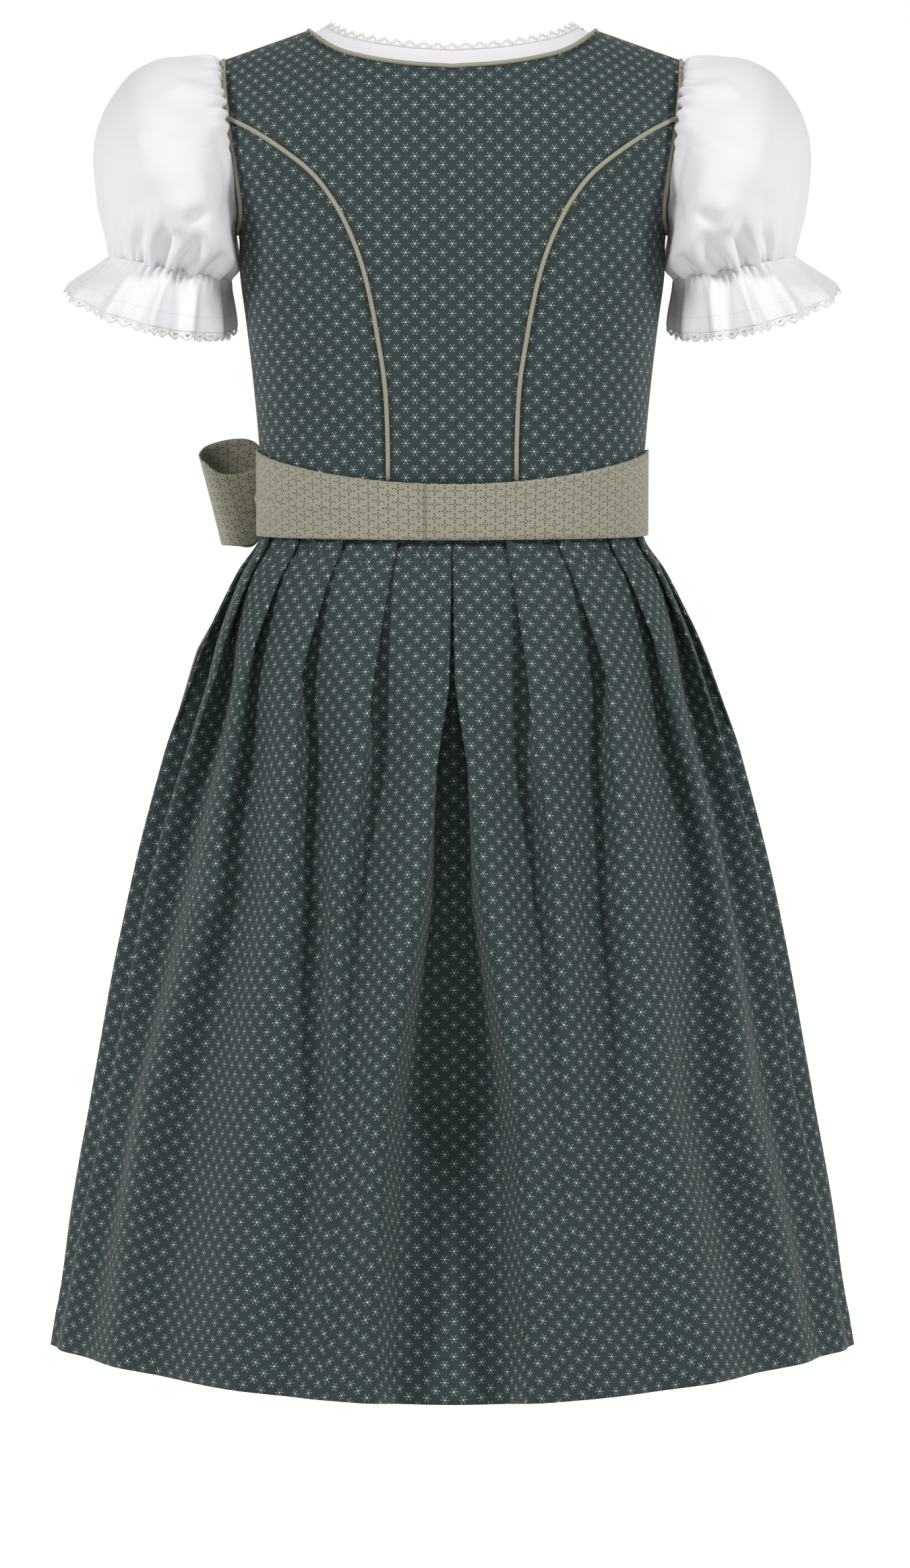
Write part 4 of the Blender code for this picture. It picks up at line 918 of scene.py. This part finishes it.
HOLLOW_ROW, HOLLOW_REACH, SEAM_EASE, FRONT_CREASED, CUFF_DRAWN = 0.45, 0.40, 1.7, 0.8, 0.04
SLEEVE_WAVES = rows("high count sway beats row reach",
    (0.0026, 40, 0.9, 5, 0.4, 0.85), (0.0022, 13, 1.1, 4, 1.4, 0.9), (0.0016, CUFF_GATHERS, 1.0, 6, 7.0, 0.26),
    (0.0034, 15, 1.4, 3, 6.6, 0.75),
)
SLEEVE_CREASES = lengths(CREASE,
    (226, -18, 158, -40, 8.5, -2.4), (190, -24, 152, -22, 5, 2.6), (196, -72, 158, -50, 7, -2.8),
    (222, -114, 182, -86, 8, -3.4), (184, -92, 164, -104, 6, 3), (196, -128, 160, -116, 5, -3),
    (214, -118, 206, -134, 4, -3), (174, -114, 150, -98, 5, -3.2), (202, -134, 196, -116, 3.5, 2.6),
    (153.5, -48, 150, -112, 2.4, -2), (206, -50, 196, -66, 6, 2.2), (184, -132, 178, -112, 3.5, -2.8),
)


# %% Make the sleeves
def sleeve_seam(side, turn):
    """The sleeve's seam: the blouse's own armhole edge, a little further out, rounded below."""
    z = mix(SEAM_BOTTOM, SHOULDER_TIP[1] - BLOUSE_INSET, (1 + np.cos(turn)) / 2)
    edge_z = np.maximum(z, SEAM_ROUND)
    x = outer_x(edge_z, -BLOUSE_INSET)
    back, front = (torso_depth(x, edge_z, face, -BLOUSE_INSET) for face in (BACK, FRONT))
    depth = np.where(np.sin(turn) >= 0, -back, front) * np.sqrt(1 - ((edge_z - z) / (SEAM_ROUND - SEAM_BOTTOM)) ** 2)
    return np.stack([side * (x + SLEEVE_SEAT), depth, z], axis=-1)


def smooth_rows(listed, p):
    """A table's columns at places p between its rows, as columns of a grid."""
    return row_at(listed, lambda column: smooth_curve(range(len(column)), column)(p)[:, None])


def sleeve_grid(side):
    """Rings of the sleeve from the armhole to the cuff, then one tucked under the elastic."""
    phase, turn = UNEVEN[side], turns_of(ROUND_STEPS, 0.5)
    p = np.concatenate([np.linspace(0, 1, 15)[:-1], np.linspace(1, 7, 66)])
    size = smooth_rows(SLEEVE, p)
    middle_x, reach_x = middle_and_reach(size.top_x, size.under_x)
    middle_z, reach_z = middle_and_reach(size.top_z, size.under_z)
    cosine, fullness = np.cos(turn), np.abs(np.sin(turn))
    across = np.where(cosine > 0, cosine, -(np.abs(cosine) ** np.minimum(size.flat, 1.0)))
    hollow = HEAD_HOLLOW * bell(p, HOLLOW_ROW, HOLLOW_REACH)[:, None] * fullness**0.6
    inwards = size.pull.clip(0.0) * fullness**0.7 + hollow
    x, z = middle_x + reach_x * across - inwards, middle_z + reach_z * cosine
    free = np.stack([side * x, -size.half_depth * np.sin(turn), z], axis=-1)
    grid = mix(free, sleeve_seam(side, turn)[None], (1 - smooth_step(SEAM_EASE * p))[:, None, None])
    away = away_from(grid, grid.mean(axis=1, keepdims=True), closed=True)

    def gathers(wave):
        """Waves round the sleeve that sway a little. They are highest at one row and die out to both sides."""
        around = np.cos(wave.count * turn + wave.sway * np.cos(wave.beats * turn + phase))
        return wave.high * around * bell(p, wave.row, wave.reach)[:, None]

    head, slow, cuff, broad = map(gathers, SLEEVE_WAVES)
    upper = smooth_step((cosine + 0.35) / 0.9)
    uneven = 0.6 + 0.4 * np.cos(3 * turn + phase) * np.cos(7 * turn + 2 * phase)
    waves = (head * upper * smooth_step(p / 0.3)[:, None] + cuff) * uneven
    waves = waves + slow * upper.mean() + broad * fullness**0.7
    spots = creases(np.abs(grid[..., 0]), grid[..., 2], SLEEVE_CREASES)
    spots = spots * np.where(grid[..., 1] < 0, 1.0, FRONT_CREASED)
    grid = grid + away * (waves + spots)[..., None]
    tuck = mix(grid[-1], grid[-1].mean(axis=0), CUFF_DRAWN) - (0.0, 0.0, CUFF_TUCK)
    return np.concatenate([grid, tuck[None]])


for label, side in SIDES:
    cloth("blouse_sleeve_" + label, sleeve_grid(side), BLOUSE, "sleeve_" + label,
          closed=True)

# %% [markdown]
# ## Sleeve ruffles
# Below the cuff the same cloth runs on as a ruffle. It is wider than the cuff, so it falls in waves, which
# start as small gathers at the elastic.

# %% Make the ruffles
RUFFLE = lengths("outer_x outer_z inner_x inner_z half_depth sag wave",
    (223.8, -127.5, 146.2, -142.4, 47, 0, 0.6), (237.5, -136.2, 144, -156, 54, 6, 3.8),
    (249.5, -144, 142.5, -168.5, 60, 11, 4.8), (254.5, -150, 142.5, -177.5, 62, 14, 5.2),
)
RUFFLE_WAVES, RUFFLE_EDGE, CUFF_SWELL, FULL_SIZE = 12, 2.4, 0.0014, 0.052


def ruffle_grid(side, start, end, count):
    """Rings of the ruffle from start to end along its table; its lace is the last step."""
    phase, turn, p = UNEVEN[side], turns_of(ROUND_STEPS), np.linspace(start, end, count)
    size = smooth_rows(RUFFLE, p)
    # The waves weaken towards the inner side, and fade at the very outside.
    outer_share = (0.45 + 0.55 * np.sin(turn / 2 + math.pi / 2) ** 2) * (1 - 0.85 * np.clip(np.cos(turn), 0, 1) ** 5)
    beat = RUFFLE_WAVES * turn + 0.8 * np.cos(2 * turn + phase)
    wave = size.wave * np.cos(beat + 0.7 * np.sin(beat)) * outer_share * (1 + 0.35 * np.cos(3 * turn + phase))
    small = CUFF_SWELL * bell(p, 0, 0.45)[:, None] * np.cos(CUFF_GATHERS * turn + np.cos(6 * turn + phase))
    grow = 1 + (wave + small) / FULL_SIZE
    middle_x, reach_x = middle_and_reach(size.outer_x, size.inner_x)
    middle_z, reach_z = middle_and_reach(size.outer_z, size.inner_z)
    x = middle_x + reach_x * np.cos(turn) * grow
    z = middle_z + reach_z * np.cos(turn) - size.sag * np.abs(np.sin(turn))
    return np.stack([side * x, -size.half_depth * np.sin(turn) * grow, z], axis=-1)


for label, side in SIDES:
    cloth("blouse_ruffle_" + label, ruffle_grid(side, 0.0, RUFFLE_EDGE, 38), BLOUSE, "sleeve_ruffle_" + label,
          closed=True)

# %% [markdown]
# ## Crochet lace
# The lace is one small unit over and over: a low scallop with a blunt tip and a heart-shaped hole.
# Geometry Nodes lay the units in a flat row, join them, and then carry each point from the flat row to the
# same place on a strip of surface, through the strip's UV map. So the lace bends with the edge it trims, and
# its size stays right.

# %% Lace unit
LACE_STEP, LACE_DROP, JUST_INSIDE = 0.009, 0.0054, 0.00002
OUTER_RIGHT = [(1.6, 0.0), (4.5, 0.0), (4.5, 1.3), (4.5, 2.6), (3.5, 3.3), (2.1, 4.4), (0.6, 5.2)]
HEART_RIGHT = [(0.8, 1.6), (1.8, 1.5), (1.9, 1.8), (1.7, 2.1), (1.3, 2.5), (0.8, 2.9), (0.3, 3.3)]


def both_sides(right):
    """A closed outline in metres, from its right half in millimetres."""
    return np.array([(-x, y) for x, y in right[1::-1]] + right + [(-x, y) for x, y in right[:1:-1]]) / 1000


def unit_object(name, rings, closed):
    """A small solid to repeat, through rings of points. Its last ring meets the first, or both ends are filled."""
    mesh = bmesh.new()
    loops = [[mesh.verts.new(point) for point in ring] for ring in rings]
    for a, b in zip(loops, loops[1:] + loops[:closed]):
        for i in range(len(a)):
            mesh.faces.new((a[i - 1], a[i], b[i], b[i - 1]))
    if not closed:
        mesh.faces.new(loops[0][::-1])
        mesh.faces.new(loops[-1])
    bmesh.ops.recalc_face_normals(mesh, faces=mesh.faces)
    made = bpy.data.meshes.new(name)
    mesh.to_mesh(made)
    mesh.free()
    return bpy.data.objects.new(name, made)


def lace_unit():
    """A ring of cloth round the heart, thinner at its edges than in between."""
    outer, heart = both_sides(OUTER_RIGHT), both_sides(HEART_RIGHT)
    rings = [(outer, 0.00015), (heart, 0.00020), (heart, -0.00020), (outer, -0.00015)]
    return unit_object("Lace unit", [[(x, y, high) for x, y in ring] for ring, high in rings], True)


# %% Node group: lace carried onto a strip
def new_tree(name, inputs):
    """A Geometry Nodes group with named inputs; each is (name, kind, default)."""
    tree = bpy.data.node_groups.new(name, "GeometryNodeTree")
    tree.interface.new_socket("Geometry", in_out="INPUT", socket_type="NodeSocketGeometry")
    tree.interface.new_socket("Geometry", in_out="OUTPUT", socket_type="NodeSocketGeometry")
    for title, kind, default in inputs:
        socket = tree.interface.new_socket(title, in_out="INPUT", socket_type="NodeSocket" + kind)
        if default is not None:
            socket.default_value = default
    return tree, tree.nodes.new("NodeGroupInput").outputs, tree.nodes.new("NodeGroupOutput")


def repeated(tree, points, given, placing=None):
    """The unit at each point, as real geometry."""
    unit_there = add(tree, "GeometryNodeObjectInfo", {"Object": given["Unit"]}).outputs["Geometry"]
    row = add(tree, "GeometryNodeInstanceOnPoints", {"Points": points, "Instance": unit_there} | (placing or {}))
    return add(tree, "GeometryNodeRealizeInstances", {0: row})


def finished(tree, row, given, result):
    """Ends a group: gives the row its thread and puts it out."""
    row = add(tree, "GeometryNodeSetMaterial", {"Geometry": row, "Material": given["Thread"]})
    feed(tree, result, {0: row})
    return tree


def lace_tree():
    tree, given, result = new_tree("Lace along a strip", [
        ("Unit", "Object", None), ("Count", "Int", 40), ("Step", "Float", LACE_STEP), ("Thread", "Material", None),
    ])
    half = add(tree, "ShaderNodeMath", {0: given["Step"], 1: 0.5}, operation="MULTIPLY")
    start = add(tree, "ShaderNodeCombineXYZ", {0: half})
    offset = add(tree, "ShaderNodeCombineXYZ", {0: given["Step"]})
    line = add(tree, "GeometryNodeMeshLine", {"Count": given["Count"], "Start Location": start, "Offset": offset})
    row = repeated(tree, line, given)
    place = add(tree, "GeometryNodeInputPosition")
    flat = add(tree, "ShaderNodeSeparateXYZ", {0: place}).outputs
    inside = add(tree, "ShaderNodeMath", {0: flat[1], 1: JUST_INSIDE}, operation="ADD")
    uv = add(tree, "ShaderNodeCombineXYZ", {0: flat[0], 1: inside})
    uv_map = add(tree, "GeometryNodeInputNamedAttribute", {"Name": "cloth"}, data_type="FLOAT_VECTOR")
    on_strip = {"Mesh": given["Geometry"], "UV Map": uv_map, "Sample UV": uv}
    there, out = (
        add(tree, "GeometryNodeSampleUVSurface", {"Value": field} | on_strip, data_type="FLOAT_VECTOR")
        for field in (place, add(tree, "GeometryNodeInputNormal"))
    )
    proud = add(tree, "ShaderNodeVectorMath", {0: out, "Scale": flat[2]}, operation="SCALE")
    there = add(tree, "ShaderNodeVectorMath", {0: there, 1: proud}, operation="ADD")
    row = add(tree, "GeometryNodeSetPosition", {"Geometry": row, "Position": there})
    return finished(tree, add(tree, "GeometryNodeSetShadeSmooth", {"Geometry": row}), given, result)


def run_tree(name, mesh, tree, values):
    """Runs a node group on a mesh once, and gives the result as a plain mesh."""
    source = new_object(name + " source", mesh)
    modifier = source.modifiers.new(tree.name, "NODES")
    modifier.node_group = tree
    for item in tree.interface.items_tree:
        if item.in_out == "INPUT" and item.name in values:
            modifier[item.identifier] = values[item.name]
    bpy.context.view_layer.update()
    graph = bpy.context.evaluated_depsgraph_get()
    mesh = bpy.data.meshes.new_from_object(source.evaluated_get(graph))
    mesh.name = name
    bpy.data.objects.remove(source, do_unlink=True)
    return mesh


# %% Make the lace
LACE_TREE, UNIT = lace_tree(), lace_unit()


def make_lace(name, strip, node):
    """Lace round a closed strip: its rows run from the cloth's edge to the lace's tips."""
    us = flat_lengths(wrapped(strip), 1).mean(axis=0)
    count = max(round(us[-1] / LACE_STEP), 3)
    down = np.linspace(0, LACE_DROP, len(strip))[:, None]
    flat = np.stack(np.broadcast_arrays(us / us[-1] * count * LACE_STEP, down), axis=-1)
    values = {"Unit": UNIT, "Count": count, "Step": LACE_STEP, "Thread": lace_thread}
    mesh = run_tree(name, grid_mesh(name, strip, True, flat), LACE_TREE, values)
    add_piece(name, mesh, lace_thread, node)
    print(f"{name}: {count} units, {len(mesh.polygons)} faces")


for label, side in SIDES:
    make_lace("blouse_cuff_lace_" + label, ruffle_grid(side, RUFFLE_EDGE, 3.0, 6), "lace_cuff_" + label)

NECK_LEAN, LEAN_DROP, LEAN_FROM, LEAN_OVER, NECK_DRAW = 0.0038, 0.0010, 0.045, 0.042, 0.015
neck_end = BLOUSE_COLUMN_STEPS * BLOUSE_TOPS.index(0.0868)
centre = blouse_grids[BACK].shape[1] // 2
neck_edge = {face: blouse_grids[face][0, centre - neck_end : centre + neck_end + 1] for face in (BACK, FRONT)}
neck_line = np.concatenate([neck_edge[BACK][::-1], neck_edge[FRONT][1:-1]])
lean = smooth_step((np.abs(neck_line[:, 0]) - LEAN_FROM) / LEAN_OVER)
inwards = -NECK_LEAN * lean * np.sign(neck_line[:, 0])
neck_rise = np.stack([inwards, 0 * lean, LACE_DROP - LEAN_DROP * lean], axis=1)
neck_rows = [
    neck_line * (1 - NECK_DRAW * t, 1 - NECK_DRAW * t, 1.0) + (0, 0, HALF_SEAM) + neck_rise * t
    for t in np.linspace(0, 1, 5)
]
make_lace("blouse_neck_lace", np.array(neck_rows), "lace_neck")
bpy.data.objects.remove(UNIT, do_unlink=True)

# %% [markdown]
# ## Piping
# Piping is a cord wrapped in a bias strip and sewn into the seam, so only its round edge shows: a tube along
# the seam's own points, which hides the join between two panels.

# %% Make the piping
PIPING_RADIUS, PIPING_SIDES = 0.00145, 12
PIPING_LIFT, ARMHOLE_LIFT, NECK_LIFT, ARMHOLE_IN, NECK_IN = 0.0009, 0.0011, 0.0014, 0.0014, 0.0012
SHOULDER_DROP, ARMHOLE_DROP, SEAM_HEAD = 0.0011, 0.0009, (0.0034, 0.0017)


def piping(name, path, node, closed=True):
    """A round cord along a path. Its UV map runs along and round it."""
    tangent = unit(np.roll(path, -1, axis=0) - np.roll(path, 1, axis=0) if closed else np.gradient(path, axis=0))
    side = unit(np.cross(tangent, path - path.mean(axis=0) + 1e-6))[:, None]
    up = np.cross(side, tangent[:, None])
    turn = turns_of(PIPING_SIDES)[:, None]
    grid = path[:, None] + PIPING_RADIUS * (np.cos(turn) * side + np.sin(turn) * up)
    mesh = closed_up(grid_mesh(name, closed_line(grid) if closed else grid, True), weld=closed)
    add_piece(name, mesh, piping_cotton, node)
    print(f"{name}: {np.linalg.norm(np.diff(path, axis=0), axis=1).sum():.3f} m")


def neck_path(lift, below, steps=12):
    """The neckline's closed loop, on the panels' top edge, moved out."""
    tops = spread([x for x in COLUMN_TOPS if x < NECK_POINT[0]], steps)
    over, path = NECK_POINT[0] + below, []
    for face in (BACK, FRONT):
        x = -face * np.concatenate([tops[::-1], -tops[1:]])
        path.append([[-face * over, 0.0, float(shoulder_height(over)) + lift - SHOULDER_DROP]])
        path.append(torso_points(x, neck_height[face](np.abs(x)) - below, face, lift))
    return np.concatenate(path)


def armhole_path(side, lift, inset, count=160):
    """The armhole's closed loop, inset from the panels' edge and moved out."""
    turn = turns_of(count)
    top = float(shoulder_height(SHOULDER_TIP[0] - inset)) + lift - ARMHOLE_DROP
    z = mix(UNDERARM - inset, top, (1 + np.cos(turn)) / 2)
    x = side * (outer_x(z, lift) - inset * smooth_step((z - UNDERARM + inset) / 0.010))
    back, front = torso_points(x, z, BACK, lift), torso_points(x, z, FRONT, lift)
    return np.where((turn < math.pi)[:, None], back, front)


def princess_path(side, face, lift, shift=0.0, steps=8):
    """The princess seam, from just inside the armhole down to the band's top edge."""
    foot = float(band_top(np.degrees(angle_of(princess_out(BAND_TOP_MIDDLE), BAND_TOP_MIDDLE)))) + 0.0003
    z = SHOULDER_TIP[1] - spread(ROW_DEPTHS[4:], steps)
    z = np.append(z[z > foot], foot)
    x, z = np.append(princess_out(z[0]) + SEAM_HEAD[0], princess_out(z)), np.append(z[0] + SEAM_HEAD[1], z)
    return torso_points(side * (x + shift), z, face, lift)


piping("piping_neck_cord", neck_path(NECK_LIFT, NECK_IN), "piping_neck")
for label, side in SIDES:
    piping("piping_armhole_cord_" + label, armhole_path(side, ARMHOLE_LIFT, ARMHOLE_IN), "piping_armhole_" + label)
    for word, face in FACES:
        path = princess_path(side, face, PIPING_LIFT)
        piping(f"piping_princess_cord_{word}_{label}", path, f"piping_princess_{word}_{label}", closed=False)

# %% [markdown]
# ## Stitches
# Topstitching runs along the neckline, armholes, princess seams and hems, and along the band's edges. One
# small stitch is repeated along a line that also carries the cloth's outward direction at each point, so
# each stitch lies flat on the cloth and follows the seam.

# %% Node group: stitches along a line
def stitch_unit():
    """One stitch 1 m long, 1 m thick: the group scales it to its real size."""
    rings = [(-0.5, 0.25), (-0.42, 0.8), (0.0, 1.0), (0.42, 0.8), (0.5, 0.25)]
    points = [[(x, 0.5 * r * math.cos(a), 0.5 * r * math.sin(a)) for a in turns_of(6)] for x, r in rings]
    return unit_object("Stitch unit", points, False)


def stitch_tree():
    tree, given, result = new_tree("Stitches along a line", [
        ("Unit", "Object", None), ("Pitch", "Float", 0.003), ("Length", "Float", 0.0022),
        ("Thickness", "Float", 0.0004), ("Thread", "Material", None),
    ])
    curve = add(tree, "GeometryNodeMeshToCurve", {"Mesh": given["Geometry"]})
    points = add(tree, "GeometryNodeCurveToPoints", {"Curve": curve, "Length": given["Pitch"]}, mode="LENGTH")
    out = add(tree, "GeometryNodeInputNamedAttribute", {"Name": "out"}, data_type="FLOAT_VECTOR")
    align = "FunctionNodeAlignRotationToVector"
    turned = add(tree, align, {"Vector": points.outputs["Tangent"]}, axis="X")
    turned = add(tree, align, {"Rotation": turned, "Vector": out}, axis="Z", pivot_axis="X")
    size = add(tree, "ShaderNodeCombineXYZ", {0: given["Length"], 1: given["Thickness"], 2: given["Thickness"]})
    return finished(tree, repeated(tree, points, given, {"Rotation": turned, "Scale": size}), given, result)


STITCH_TREE, STITCH_UNIT = stitch_tree(), stitch_unit()
STITCH_FACES = 26


def stitches(name, lines, thread, pitch=0.0028, length=0.0020, thickness=0.00038):
    """Rows of stitches: each line is points and the cloth's outward direction at them."""
    mesh = bpy.data.meshes.new(name)
    points, outs = (np.concatenate(parts) for parts in zip(*lines))
    starts = np.cumsum([0] + [len(line) for line, out in lines])
    edges = [(i, i + 1) for a, b in zip(starts, starts[1:]) for i in range(a, b - 1)]
    mesh.from_pydata(points.tolist(), edges, [])
    out_at = mesh.attributes.new("out", "FLOAT_VECTOR", "POINT")
    out_at.data.foreach_set("vector", outs.reshape(-1).astype(np.float32))
    mesh = run_tree(name, mesh, STITCH_TREE, {
        "Unit": STITCH_UNIT, "Pitch": pitch, "Length": length, "Thickness": thickness, "Thread": thread})
    add_piece(name, mesh, thread)
    print(f"{name}: {len(mesh.polygons) // STITCH_FACES} stitches")


BODY_ROUND, LEAN_START, LEAN_RISE = (0.14, 0.09), 0.05, 320.0


def on_form(points):
    """The same points with the body's outward direction at each, which leans up over the shoulders."""
    out = points * (1.0, 1.0, 0.0) / (BODY_ROUND[0] ** 2, BODY_ROUND[1] ** 2, 1.0)
    out[:, 2] = LEAN_RISE * np.clip(points[:, 2] + LEAN_START, 0.0, 1.0)
    return points, unit(out)


def lifted_row(grid, away, row, lift, closed=False):
    """A row of a grid lifted off its cloth, with the outward direction at each point."""
    line = (grid[row] + away[row] * lift, away[row])
    return tuple(map(closed_line, line)) if closed else line


# %% Topstitching of the dress
STITCH_PROUD, SEAM_STITCH_IN, NECK_STITCH_IN, ARMHOLE_STITCH_IN = 0.00008, 0.0034, 0.0046, 0.0052
TOPSTITCH_LIFT = DRESS.thickness / 2 + STITCH_PROUD
lines = [on_form(neck_path(TOPSTITCH_LIFT, NECK_STITCH_IN))]
for label, side in SIDES:
    lines.append(on_form(armhole_path(side, TOPSTITCH_LIFT, ARMHOLE_STITCH_IN)))
    lines += [on_form(princess_path(side, face, TOPSTITCH_LIFT, -SEAM_STITCH_IN)) for face in (BACK, FRONT)]
stitches("dress_topstitching", lines, dress_thread)

hem_row = int(np.argmin(np.abs(skirt_heights - (SKIRT_HEM + HEM_DEPTH))))
hem_line = lifted_row(skirt_grid, skirt_away, hem_row, HEM_PROUD, True)
stitches("dress_hem_stitching", [hem_line], dress_thread)

# %% Topstitching of the apron, band and blouse
lines = [(grid, row, TIE.thickness) for grid in band_grids.values() for row in (1, -2)]
lines.append((apron_grid, -4, APRON.thickness))
for number, (grid, row, thickness) in enumerate(lines):
    away = away_from(grid, grid.mean(axis=(0, 1)) * (0, 0, 1))
    lines[number] = lifted_row(grid, away, row, thickness / 2)
stitches("apron_topstitching", lines, tie_thread)

STITCH_ROW, NECK_STITCHES_DOWN, lines = 32, 0.0022, []
for label, side in SIDES:
    grid = ruffle_grid(side, 0.0, 2.0, 40)
    away = away_from(grid, grid.mean(axis=1, keepdims=True), closed=True)
    lines.append(lifted_row(grid, away, STITCH_ROW, BLOUSE.thickness / 2, True))
neck_below = closed_line(neck_line) - (0, 0, NECK_STITCHES_DOWN)
lines.append(on_form(neck_below + on_form(neck_below)[1] * BLOUSE.thickness / 2))
stitches("blouse_topstitching", lines, white_thread, pitch=0.0024, length=0.0017)
bpy.data.objects.remove(STITCH_UNIT, do_unlink=True)

# %% [markdown]
# ## Buttons
# Five plain buttons close the front. Each is turned like a small plate: a rim round a shallow middle.

# %% Make the buttons
BUTTON_HEIGHTS, BUTTON_X, BUTTON_SEAT = (-0.085, -0.125, -0.165, -0.205, -0.245), -0.0105, 0.0026
BUTTON_PROFILE = [
    (0.0, 0.0008), (0.0026, 0.0008), (0.0042, 0.0009), (0.0050, 0.0014), (0.0058, 0.0016), (0.0064, 0.0012),
    (0.0065, 0.0002), (0.0061, -0.0009), (0.0045, -0.0012), (0.0, -0.0012),
]


def place_on_front(x, z, high, step=0.004):
    """Where a button sits: its centre and its three directions."""
    across = unit(torso_points(x + step, z, FRONT) - torso_points(x - step, z, FRONT))
    up = torso_points(x, z + step, FRONT) - torso_points(x, z - step, FRONT)
    out = unit(np.cross(up, across))
    return torso_points(x, z, FRONT, worn=0) + out * high, across, np.cross(out, across), out


turn = turns_of(48)[:, None]
for number, height in enumerate(BUTTON_HEIGHTS, 1):
    centre, across, up, out = place_on_front(BUTTON_X, height, BUTTON_SEAT)
    around = np.cos(turn) * across + np.sin(turn) * up
    rings = [centre + max(radius, 0.0001) * around + high * out for radius, high in BUTTON_PROFILE]
    mesh = closed_up(grid_mesh(f"button_turned_{number}", np.array(rings), True))
    add_piece(f"button_turned_{number}", mesh, horn_button, f"button_{number}")
print("buttons:", len(BUTTON_HEIGHTS))

# %% [markdown]
# ## Studio
# Plain soft light: a lamp on each side of the camera, a weak one above it and a broad one beyond the dress.
# The floor is pale, and glows as painted light, more and more beyond the dress until it meets the white background.

# %% Floor and lights
FLOOR, WIDE, LAMPS_AIM = -1.15, 30, Vector((0, 0, -0.4))
floor_mesh = bpy.data.meshes.new("Floor")
floor_mesh.from_pydata([(x * WIDE, y * WIDE, FLOOR) for x, y in ((-1, -1), (1, -1), (1, 1), (-1, 1))], [], [range(4)])
floor = new_object("Floor", floor_mesh)
paper, tree, shader = material("White studio paper", {"Roughness": 0.9, "Emission Color": (1, 1, 1, 1)})
place = add(tree, "ShaderNodeTexCoord").outputs["Object"]
tone = blend(tree, noise(tree, place, 40.0), linear("f6f6f6"), linear("ffffff"))
behind = add(tree, "ShaderNodeSeparateXYZ", {0: place}).outputs[1]
# Painted light: the floor's own glow, weak near the dress and full beyond it.
glow = add(tree, "ShaderNodeMapRange", {"Value": behind, 1: 0.2, 2: 1.0, 3: 0.15, 4: 1.0})
feed(tree, shader, {"Base Color": tone, "Emission Strength": glow})
floor_mesh.materials.append(paper)

world = bpy.data.worlds.new("Studio")
world.use_nodes = True
bpy.context.scene.world = world
sky = world.node_tree
ray = add(sky, "ShaderNodeLightPath").outputs["Is Camera Ray"]
strength = add(sky, "ShaderNodeMath", {0: ray, 1: 0.92, 2: 0.08}, operation="MULTIPLY_ADD")
feed(sky, sky.nodes["Background"], {"Color": (1, 1, 1, 1), "Strength": strength})

LAMPS = rows("name place size power",
    ("Left softbox", (-2.7, -2.1, 1.8), 0.6, 76.0), ("Right softbox", (2.7, -2.1, 1.8), 0.6, 76.0),
    ("Top softbox", (0.0, -3.0, 3.4), 1.0, 18.0), ("Back softbox", (0.0, 3.4, 1.8), 2.4, 40.0),
)
for lamp in LAMPS:
    light = bpy.data.lights.new(lamp.name, "AREA")
    light.size, light.energy = lamp.size, lamp.power
    made = new_object(lamp.name, light)
    made.location = lamp.place
    made.rotation_euler = (LAMPS_AIM - Vector(lamp.place)).to_track_quat("-Z", "Y").to_euler()
bpy.context.scene.view_settings.view_transform = "Standard"
print("lamps:", len(LAMPS))
